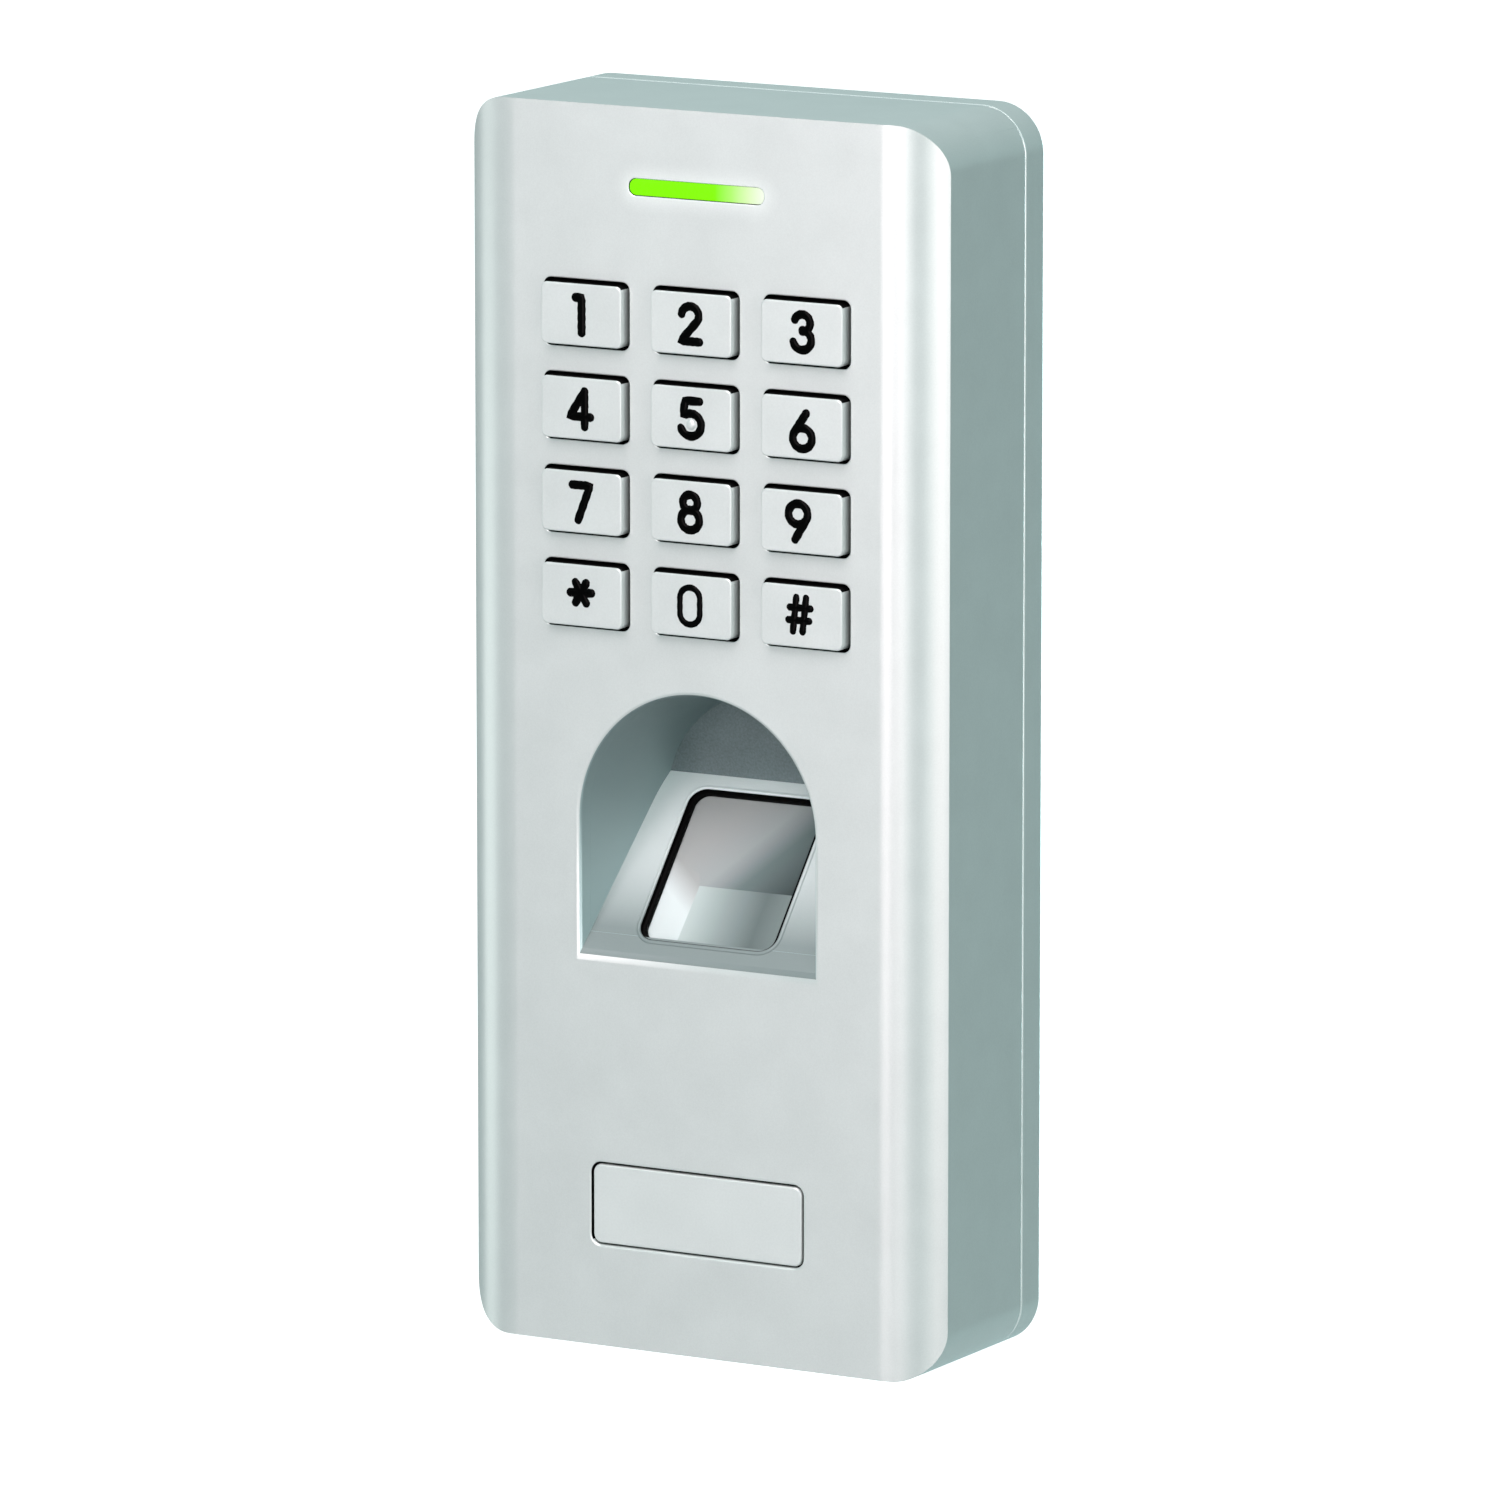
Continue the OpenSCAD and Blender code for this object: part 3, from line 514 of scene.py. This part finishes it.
arch_cut = loft([arch_loop(0, y, SILL - 2 * MM) for y in (FRONT - 1 * MM, FRONT + FRONT_T + 1 * MM)], "cut")
boolean(housing, boolean(arch_cut, half_space(0)))
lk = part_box("lock_screw")
LOCK_Y = (lk[0].y + lk[1].y) / 2
boolean(housing, prism_z(circle(3.1 * MM, 0, LOCK_Y, 32), -H2 - 2 * MM, -H2 + 1 * MM))
boolean(housing, prism_z(circle(1.7 * MM, 0, LOCK_Y, 24), -H2 - 2 * MM, -H2 + 4 * MM))


def housing_rule(mid, angle):
    """Bevel weight of a housing edge."""
    if angle < 20:
        return 0.0
    on_face = abs(mid.y - FRONT) < 0.05 * MM
    beside_arch = abs(mid.x) < ARCH_R + 0.5 * MM and SILL - 0.4 * MM < mid.z < ARCH_Z + ARCH_R + 0.4 * MM
    if on_face and beside_arch:
        return 1.0 if abs(mid.z - SILL) < 0.05 * MM else 0.5
    if on_face and abs(mid.z) < H2 - 1 * MM and abs(mid.x) < ROLL_X:
        return 0.2 if abs(mid.z - PLATE_Z) > 7 * MM else 0.35
    at_outside = abs(mid.x) > W2 - 1 * MM or abs(mid.z) > H2 - 0.3 * MM
    return 0.25 if mid.y > SEAM - 0.1 * MM and at_outside else 0.0


SATIN, SMOOTH, GREY, SHADE_BLACK = range(4)
slope_n = V((0, -math.sin(SLOPE), math.cos(SLOPE)))


def housing_paint(c, normal):
    """Material index of a housing face, from its centre and normal; walls of the key openings, the pocket
    and other gaps get near-black painted shade, the recess faces the painted light and shade ramps.
    """
    outer_key_sides = 17.5 * MM < abs(c.x) < 21.2 * MM and 8 * MM < c.z < 60 * MM
    if outer_key_sides and c.y < FRONT + 2.5 * MM and abs(normal.y) < 0.5:
        return SHADE_BLACK
    in_pocket = abs(c.z - PLATE_Z) < 6 * MM
    if in_pocket and abs(c.y - FRONT - POCKET_D) < 0.05 * MM and abs(normal.y) > 0.97:
        return SHADE_BLACK
    if abs(c.x) > ARCH_R + 0.1 * MM or c.y > FRONT + 3 * MM or abs(normal.y) > 0.97:
        return SATIN
    if SILL - 0.1 * MM < c.z < ARCH_Z + ARCH_R + 0.1 * MM and c.y > FRONT + 0.1 * MM:
        return GREY if normal.dot(slope_n) > 0.95 else SMOOTH
    if c.y <= FRONT + 0.05 * MM:
        return SATIN
    if in_pocket:
        return SATIN if normal.z > 0.5 else SHADE_BLACK
    return SHADE_BLACK if abs(c.z) < H2 - 8 * MM else SATIN


edge_weights(housing, housing_rule)
bevelled(housing, 0.85 * MM, 4)
paint_with(housing, "satin_silver", "recess_smooth", "recess_grey", "gap_painted_shade")
for p in housing.data.polygons:
    p.material_index = housing_paint(p.center, p.normal)
place(housing, "terminal", "satin_silver", "front_housing")

# ---------------------------------------------------------------- finger recess
T = 1.4 * MM                                 # wall of the insert
depths = (FRONT + FRONT_T + 0.02 * MM, FRONT + REC_D + T)
recess = loft([arch_loop(T, y, SILL - 0.2 * MM) for y in depths], "recess_insert")
boolean(recess, half_space(1.2 * MM))
hollow = loft([arch_loop(0, y, SILL - 3 * MM) for y in (FRONT - 2 * MM, FRONT + REC_D)], "cut")
boolean(recess, boolean(hollow, half_space(0)))
WIN_MID = WIN_S + WIN_L / 2


def slope_loop(w, length, r, n):
    """Rounded rectangle on the slope, centred on the window and raised by n."""
    return [on_slope(x, s, n) for x, s in rounded(w, length, r, 10, 0.0, WIN_MID)]


window_cut = [slope_loop(WIN_W + 0.2 * MM, WIN_L + 0.2 * MM, 2.3 * MM, n) for n in (3 * MM, -4 * MM)]
boolean(recess, loft(window_cut, "cut"))
recess.name = recess.data.name = "recess_insert"
smooth(recess, 25)
paint_with(recess, "recess_smooth", "recess_grey", "recess_back")
# Arch walls, slope and back wall take the recess's painted light and shade colours
for p in recess.data.polygons:
    back_wall = abs(p.normal.y) > 0.95 and p.center.y > FRONT + 10 * MM
    p.material_index = 2 if back_wall else (1 if p.normal.dot(slope_n) > 0.95 else 0)
place(recess, "terminal", "recess_grey", "finger_recess")

# raised lip round the window: a rounded band
lip_profile = [(0.5, 0.0), (0.48, 0.08), (0.4, 0.15), (0.3, 0.19), (0.2, 0.2),
               (0.1, 0.18), (0.03, 0.12), (0.0, 0.04), (0.0, -1.1), (0.3, -1.15)]
lip_loops = [slope_loop(WIN_W + 2 * g * MM, WIN_L + 2 * g * MM, (2.2 + g) * MM, n * MM)
             for g, n in lip_profile]
lip = loft(lip_loops, "window_lip", close=False)
lip.data.shade_smooth()
# The lip takes the slope's ramp, painted lighter towards its top as painted light
paint_with(lip, "recess_grey")
place(lip, "terminal", "recess_grey")

# ---------------------------------------------------------------- gasket, window and facets
DEPTH = -0.5 * MM                            # window glass below the slope
gw, gl = WIN_W - 1.24 * MM, WIN_L - 0.9 * MM
rings = [slope_loop(WIN_W - 0.02 * MM, WIN_L - 0.02 * MM, 2.2 * MM, 0.02 * MM),
         slope_loop(WIN_W - 0.16 * MM, WIN_L - 0.16 * MM, 2.15 * MM, 0.02 * MM),
         slope_loop(WIN_W - 0.2 * MM, WIN_L - 0.2 * MM, 2.1 * MM, DEPTH + 0.12 * MM),
         slope_loop(gw + 0.2 * MM, gl + 0.2 * MM, 1.8 * MM, DEPTH + 0.12 * MM),
         slope_loop(gw, gl, 1.7 * MM, DEPTH + 0.02 * MM),
         slope_loop(gw, gl, 1.7 * MM, DEPTH - 0.5 * MM),
         slope_loop(WIN_W - 0.02 * MM, WIN_L - 0.02 * MM, 2.2 * MM, DEPTH - 0.5 * MM),
         slope_loop(WIN_W - 0.02 * MM, WIN_L - 0.02 * MM, 2.2 * MM, 0.02 * MM)]
gasket = loft(rings, "window_gasket", close=False)
smooth(gasket, 40, weighted=False)
paint_with(gasket, "gasket_black")
place(gasket, "terminal", "gasket_black", "sensor_gasket")

pane_loops = [slope_loop(gw + 0.06 * MM, gl + 0.06 * MM, 1.7 * MM, n * MM) for n in (-0.62, -0.78)]
pane = loft(pane_loops, "prism_window")
paint_with(pane, "prism_glass")
place(pane, "terminal", "prism_glass", "sensor_prism")

hx1 = gw / 2 + 0.1 * MM
hx0 = -hx1
s0, s1 = WIN_MID - gl / 2 - 0.1 * MM, WIN_MID + gl / 2 + 0.1 * MM
FD, FACET_T = -0.95 * MM, 0.25 * MM          # facets: depth below the slope, thickness


def facet(pts, name, mat):
    """Thin flat plate on the slope through the (x, s) points."""
    loops = [[on_slope(x, s, n) for x, s in pts] for n in (FD, FD - FACET_T)]
    o = loft(loops, name)
    paint_with(o, mat)
    place(o, "terminal", "prism_glass")


RIDGE_S, RIDGE_X = 11.25 * MM, -4.2 * MM
ex = V((1, 0, 0))
es = V((0, math.cos(SLOPE), math.sin(SLOPE)))
diag = (ex * 0.8 - es * 0.6)
c_lo = on_slope(-3 * MM, 20 * MM, 0).dot(diag)
c_hi = on_slope(9 * MM, 10 * MM, 0).dot(diag)
# Painted light and reflection in the prism: each facet's gradient and glow stand for what the glass shows
upper_m = painted_facet_light("facet_rear", [(0.0, (0.31, 0.325, 0.32)), (0.3, (0.28, 0.31, 0.31)),
                                       (0.55, (0.108, 0.145, 0.145)), (1.0, (0.015, 0.022, 0.022))],
                         diag, c_lo, c_hi)
lower_m = painted_facet_light("facet_low", [(0.0, (0.38, 0.45, 0.44)), (0.35, (0.225, 0.275, 0.27)),
                                      (0.75, (0.10, 0.13, 0.13)), (1.0, (0.155, 0.195, 0.19))],
                         ex, -4 * MM, 8.5 * MM)
fade = ex * 0.65 + es * 0.76
left_m = painted_facet_light("facet_left", [(0.0, (0.49, 0.55, 0.55)), (0.55, (0.54, 0.60, 0.60)),
                                      (1.0, (0.31, 0.325, 0.32))],
                        fade, on_slope(-6 * MM, s0, 0).dot(fade), on_slope(RIDGE_X, RIDGE_S, 0).dot(fade))
corner = (RIDGE_X, RIDGE_S)
foot = (RIDGE_X - 0.2 * MM, s0)
shoulder = (RIDGE_X - 0.6 * MM, RIDGE_S + 1.6 * MM)
side = (hx0, RIDGE_S + 3.4 * MM)
facet([side, shoulder, corner, (hx1, RIDGE_S), (hx1, s1), (hx0, s1)], "prism_rear_facet", upper_m)
facet([corner, foot, (hx1, s0), (hx1, RIDGE_S)], "prism_low_facet", lower_m)
facet([(hx0, s0), foot, corner, shoulder, side], "prism_left_facet", left_m)


# ---------------------------------------------------------------- keys
def key_mesh(k):
    """Cap with rounded front edges, straight sides and a retaining flange; also returns its face's y."""
    x, z, y0, y1 = KEY_AT[k]
    face = y0 if k != "key_5" else KEY_AT["key_4"][2]
    r, fillet, steps = 0.75 * MM, 0.18 * MM, 4
    layers = []
    for i in range(steps + 1):
        a = math.radians(90 * i / steps)
        ins = fillet * (1 - math.sin(a))
        pts = rounded(KEY_W - 2 * ins, KEY_H - 2 * ins, r - ins * 0.8, 6, x, z)
        layers.append((pts, face + fillet * (1 - math.cos(a))))
    back = y1 - 0.8 * MM
    flange = rounded(KEY_W + 1.9 * MM, KEY_H + 1.9 * MM, 1 * MM, 6, x, z)
    layers += [(rounded(KEY_W, KEY_H, r, 6, x, z), back), (flange, back), (flange, y1)]
    o = stacked(layers, k + "_cap")
    smooth(o, 50)
    return o, face


def arc(cx, cz, r, a0, a1, n=18):
    turns = [math.radians(a0 + (a1 - a0) * i / n) for i in range(n + 1)]
    return [(cx + r * math.cos(a), cz + r * math.sin(a)) for a in turns]


def spoke(a):
    """Straight stroke through the middle at a degrees."""
    x, z = 1.38 * math.cos(math.radians(a)), 1.38 * math.sin(math.radians(a))
    return [(-x, -z), (x, z)]


# centre lines of the numerals in mm, drawn one by one; then half widths and shifts of single ones
STROKES = {
    "key_1": [[(-0.45, 2.06), (0.32, 2.08), (0.32, -2.1)]],
    "key_2": [arc(0.02, 1.0, 1.12, 172, -32, 20) + [(-1.2, -2.08), (1.22, -2.08)]],
    "key_3": [arc(0.0, 1.08, 1.02, 160, -88, 18), arc(-0.02, -0.95, 1.18, 88, -165, 20)],
    "key_4": [[(0.55, 2.1), (-1.4, -0.95), (1.32, -0.95)], [(0.55, 2.1), (0.55, -2.12)]],
    "key_5": [[(1.12, 2.08), (-0.75, 2.08), (-1.0, 0.42)] + arc(0.0, -0.78, 1.36, 118, -160, 24)],
    "key_6": [arc(0.02, -0.88, 1.24, 0, 360, 30), [(-1.02, -0.2), (0.5, 2.12)]],
    "key_7": [[(-1.18, 2.06), (1.14, 2.06), (-0.42, -2.12)]],
    "key_8": [arc(0.0, 1.1, 0.95, 0, 360, 26), arc(0.0, -0.98, 1.2, 0, 360, 30)],
    "key_9": [arc(-0.05, 0.92, 1.24, 0, 360, 30), [(1.0, 0.25), (-0.42, -2.12)]],
    "key_star": [spoke(a) for a in (2, 60, 120)],
    "key_0": [arc(0, 0.92, 1.3, 0, 180, 16) + arc(0, -0.92, 1.3, 180, 360, 16) + [(1.3, 0.92)]],
    "key_hash": [[(-0.42, 2.0), (-0.85, -2.05)], [(0.85, 2.0), (0.4, -2.05)],
                 [(-1.25, 0.78), (1.42, 0.78)], [(-1.42, -0.72), (1.25, -0.72)]],
}
HALF = {"key_0": 0.40, "key_hash": 0.46, "key_star": 0.56, "key_1": 0.58}
OFFSET = {"key_1": (-0.25, 0.0), "key_2": (-0.1, 0.0), "key_3": (0.1, 0.15), "key_4": (-0.1, 0.0),
          "key_6": (0.1, -0.35), "key_8": (-0.1, 0.05), "key_9": (-0.4, 0.05), "key_star": (-0.1, 0.35),
          "key_0": (-0.15, 0.0), "key_hash": (-0.25, 0.25)}
WIDEN = 1.04


def stroke_mesh(bm, pts, r, at, y, lift):
    """Domed bead of enamel along a polyline, with round ends."""
    x0, z0 = at
    path = [V((p[0], 0, p[1])) for p in pts]
    dense = [path[0]]
    for a, b in zip(path, path[1:]):
        n = max(1, int((b - a).length / 0.3))
        dense += [a + (b - a) * i / n for i in range(1, n + 1)]
    path = dense
    closed = (path[0] - path[-1]).length < 1e-4
    if closed:
        path = path[:-1]
    n = len(path)
    stations = []
    for i, p in enumerate(path):
        if closed:
            t = path[(i + 1) % n] - path[i - 1]
        else:
            t = path[min(i + 1, n - 1)] - path[max(i - 1, 0)]
        t.normalize()
        stations.append((p, t, 1.0))
    if not closed:
        first, last = stations[0], stations[-1]
        caps = [math.radians(q) for q in (22, 45, 67, 84)]
        start = [(first[0] - first[1] * r * math.sin(q), first[1], math.cos(q)) for q in reversed(caps)]
        stations = start + stations
        stations += [(last[0] + last[1] * r * math.sin(q), last[1], math.cos(q)) for q in caps]
    rings = []
    k = 9
    for i, (p, t, s) in enumerate(stations):
        side = V((t.z, 0, -t.x))
        wob = 1 + 0.05 * math.sin(i * 1.9 + p.x * 3.0)
        ring = []
        for j in range(k):
            a = math.pi * j / (k - 1)
            q = p + side * (r * s * wob * math.cos(a))
            h = 0.02 + lift * s * math.sin(a)
            ring.append(bm.verts.new((x0 + q.x * MM, y - h * MM, z0 + q.z * MM)))
        rings.append(ring)
    pairs = list(zip(rings, rings[1:])) + ([(rings[-1], rings[0])] if closed else [])
    for a, b in pairs:
        for j in range(k - 1):
            bm.faces.new((a[j], a[j + 1], b[j + 1], b[j]))
        bm.faces.new((a[k - 1], a[0], b[0], b[k - 1]))
    if not closed:
        bm.faces.new(rings[0])
        bm.faces.new(list(reversed(rings[-1])))


for k in key_names:
    cap, face = key_mesh(k)
    paint_with(cap, "key_metal", "gap_painted_shade")
    # Painted shade: the cap's upward-facing side walls and all behind the front are painted near black
    for p in cap.data.polygons:
        if p.center.y > FRONT + 1 * MM or (p.normal.z > 0.6 and p.center.y > face + 0.2 * MM):
            p.material_index = 1
    place(cap, k, "key_metal", k)
    x, z = KEY_AT[k][:2]
    ox, oz = OFFSET.get(k, (0, 0))
    bm = bmesh.new()
    for pts in STROKES[k]:
        wide = [(WIDEN * q, t) for q, t in pts]
        stroke_mesh(bm, wide, HALF.get(k, 0.55), (x + ox * MM, z + oz * MM), face + 0.03 * MM, 0.13)
    enamel_faces = len(bm.faces)
    for pts in STROKES[k]:
        for q, t in (pts[0], pts[len(pts) // 2], pts[-1]):
            spot = bmesh.ops.create_uvsphere(bm, u_segments=8, v_segments=6, radius=0.075 * MM)["verts"]
            at = (x + (ox + WIDEN * q - 0.05) * MM, face - 0.07 * MM, z + (oz + t + 0.06) * MM)
            bmesh.ops.translate(bm, verts=spot, vec=at)
    bm.faces.ensure_lookup_table()
    for f in bm.faces[enamel_faces:]:
        f.material_index = 1
    ink = from_bm(bm, k + "_enamel")
    ink.data.shade_smooth()
    paint_with(ink, "enamel", "glint")
    place(ink, k, "key_metal")
x, z = KEY_AT["key_5"][:2]
y = KEY_AT["key_4"][2]
pip_profile = ((0.62, -0.05), (0.6, 0.02), (0.5, 0.1), (0.3, 0.145), (0.1, 0.15))
dome = stacked([(circle(r * MM, x, z - 0.75 * MM, 24), y - h * MM) for r, h in pip_profile], "key_5_pip")
dome.data.shade_smooth()
paint_with(dome, "key_metal")
place(dome, "key_5", "key_metal")

# ---------------------------------------------------------------- light bar and nameplate
bar_profile = ((0.4 * MM, FRONT + 0.02 * MM), (0.16 * MM, FRONT + 0.06 * MM),
               (0.06 * MM, FRONT + 0.2 * MM), (0.06 * MM, bar_hi.y))
bar = stacked([(rounded(2 * BAR_L2 - g, BAR_H - g, 0.9 * MM - g / 2, 8, 0, BAR_Z), y)
               for g, y in bar_profile], "status_bar_lens")
smooth(bar, 60, weighted=False)
paint_with(bar, "status_bar")
place(bar, "terminal", "status_bar", "light_bar")

PLATE_W, PLATE_H = POCKET_W - 0.4 * MM, POCKET_H - 0.4 * MM
plate_profile = ((0.5 * MM, 0.02), (0.28 * MM, 0.05), (0.1 * MM, 0.16), (0.0, 0.3), (0.0, 0.69))
plate = stacked([(rounded(PLATE_W - g, PLATE_H - g, 1.1 * MM - g / 2, 8, 0, PLATE_Z), FRONT + y * MM)
                 for g, y in plate_profile], "blank_plate")
smooth(plate, 50)
paint_with(plate, "plate_silver")
place(plate, "terminal", "plate_silver", "nameplate")

# ---------------------------------------------------------------- wall plate and the CAD pieces that stay
slots = {s["node"]: s["material_slot"] for s in frame["record"]["subparts"]}
for name, obj in frame["nodes"].items():
    obj.data.materials.clear()
    obj.data.materials.append(mats[slots[name]])

RIM_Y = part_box("wall_plate")[0].y
RIM = -4.6 * MM                               # front edge of the rim, behind the seam
FLOOR_Y = -2 * MM


def block(x0, x1, y0, y1, z0, z1):
    return prism_y([(x0, z0), (x1, z0), (x1, z1), (x0, z1)], y0, y1)


def disc(d, cx, cz, y0, y1):
    return prism_y(circle(d / 2, cx, cz, 40), y0, y1)


RIM_FILLET, RIM_STEPS = 0.22 * MM, 4
edge = []
for i in range(RIM_STEPS + 1):
    a = math.radians(90 * i / RIM_STEPS)
    edge.append((RIM_FILLET * (1 - math.sin(a)), RIM + RIM_FILLET * (1 - math.cos(a))))
edge += [(0.0, -0.3 * MM), (0.08 * MM, -0.08 * MM), (0.3 * MM, 0.0)]
back = stacked([(outline(g, 24), y) for g, y in edge], "wall_back")
boolean(back, prism_y(outline(WALL, 12), RIM - 1 * MM, FLOOR_Y))
SCREW_Z, CABLE_Z = 41.65, -58                # fixing holes and cable exit, in mm
for z in (-SCREW_Z * MM, SCREW_Z * MM):
    boolean(back, disc(10 * MM, 0, z, -3 * MM, -1 * MM), "UNION")
lock_block = block(-5 * MM, 5 * MM, LOCK_Y - 3 * MM, -1 * MM, -H2 + WALL + 0.3 * MM, -H2 + WALL + 3.9 * MM)
boolean(back, lock_block, "UNION")
for x in (-15 * MM, 15 * MM):
    hook = block(x - 3 * MM, x + 3 * MM, RIM_Y, -1 * MM, H2 - WALL - 2 * MM, H2 - WALL - 0.3 * MM)
    boolean(back, hook, "UNION")
for d, z in ((4.2, -SCREW_Z), (4.2, SCREW_Z), (18, CABLE_Z)):
    boolean(back, disc(d * MM, 0, z * MM, -4 * MM, 1 * MM))
boolean(back, prism_z(circle(1.25 * MM, 0, LOCK_Y, 24), -H2, -H2 + 8 * MM))
smooth(back, 35)
paint_with(back, "satin_silver", "seam_painted_highlight")
# the rim's fillet faces by the seam get the painted highlight
for p in back.data.polygons:
    at_outside = abs(p.center.x) > W2 - 6 * MM or abs(p.center.z) > H2 - 1 * MM
    if RIM < p.center.y < RIM + 0.2 * MM and abs(p.normal.y) < 0.99 and at_outside:
        p.material_index = 1
place(back, "terminal", "satin_silver", "wall_plate")

# ---------------------------------------------------------------- floor, world and lights
bm = bmesh.new()
bmesh.ops.create_grid(bm, x_segments=2, y_segments=2, size=30)
floor = from_bm(bm, "floor")
floor.location = (0, 8, -H2 - 0.32)
fm, nt, b = nodes_of("pale_floor")
co = node(nt, "ShaderNodeTexCoord")
nz = node(nt, "ShaderNodeTexNoise", Scale=3.0, Detail=2.0)
nt.links.new(co.outputs["Object"], nz.inputs["Vector"])
cr = ramp(nt, [(0.3, (0.59, 0.59, 0.59)), (0.7, (0.61, 0.61, 0.61))])
nt.links.new(nz.outputs["Fac"], cr.inputs[0])
nt.links.new(cr.outputs[0], b.inputs["Base Color"])
b.inputs["Roughness"].default_value = 1.0
b.inputs["Specular IOR Level"].default_value = 0.0
b.inputs["Emission Color"].default_value = (1, 1, 1, 1)
lp = node(nt, "ShaderNodeLightPath")
nt.links.new(lp.outputs["Is Camera Ray"], b.inputs["Emission Strength"])
floor.data.materials.append(fm)

world = bpy.data.worlds.new("world")
scene.world = world
world.use_nodes = True
wt = world.node_tree
# strength and tint were solved with the area lights, by least squares against the photo's colours
ambient = wt.nodes["Background"]
ambient.inputs[0].default_value = (0.686, 1.0, 0.988, 1)
ambient.inputs[1].default_value = 0.493
seen = wt.nodes.new("ShaderNodeBackground")
seen.inputs[0].default_value = (1, 1, 1, 1)
lp = wt.nodes.new("ShaderNodeLightPath")
mix = wt.nodes.new("ShaderNodeMixShader")
wt.links.new(lp.outputs["Is Camera Ray"], mix.inputs[0])
wt.links.new(ambient.outputs[0], mix.inputs[1])
wt.links.new(seen.outputs[0], mix.inputs[2])
wt.links.new(mix.outputs[0], wt.nodes["World Output"].inputs[0])
scene.view_settings.view_transform = "Standard"
scene.view_settings.look = "None"


def area(name, azimuth, dist, z, size, power, colour, aim_z=None):
    """Rectangular light round the object; azimuth 0 is straight in front, + towards the right."""
    d = bpy.data.lights.new(name, "AREA")
    d.shape = "RECTANGLE"
    d.size, d.size_y = size
    d.energy, d.color = power, colour
    o = bpy.data.objects.new(name, d)
    scene.collection.objects.link(o)
    a = math.radians(azimuth)
    o.location = (math.sin(a) * dist, -math.cos(a) * dist, z)
    o.rotation_mode = "QUATERNION"
    aim = V((0, -0.02, z if aim_z is None else aim_z))
    o.rotation_quaternion = (aim - o.location).to_track_quat("-Z", "Y")


# powers and tints were solved by least squares against the photo's colours, not chosen by hand
area("front_strip_left", -16, 1.3, 0.11, (0.22, 0.78), 2.72, (1, 0.81, 0.845))
area("front_strip", 3, 1.3, 0.11, (0.22, 0.78), 1.65, (1, 0.79, 0.824))
area("front_strip_right", 12, 1.3, 0.11, (0.22, 0.78), 0.67, (0.965, 1, 0.982))
area("right_strip_near", 40, 1.3, 0.11, (0.3, 0.78), 0.86, (0.99, 1, 0.984))
area("right_strip", 52, 1.3, 0.11, (0.3, 0.78), 1.86, (1, 0.80, 0.81))
area("far_right_strip", 62, 1.3, 0.11, (0.3, 0.78), 1.50, (1, 0.907, 0.916))
area("left_fill", -80, 1.3, -0.24, (0.6, 0.28), 0.70, (0.973, 1, 0.974), 0.0)
area("top_soft", 0, 0.4057, 0.4596, (0.4, 0.4), 3.67, (1, 0.87, 0.892), 0.0)
area("rear_fill", 191, 1.3, -0.14, (0.8, 0.42), 10.0, (0.573, 0.983, 1), 0.0)
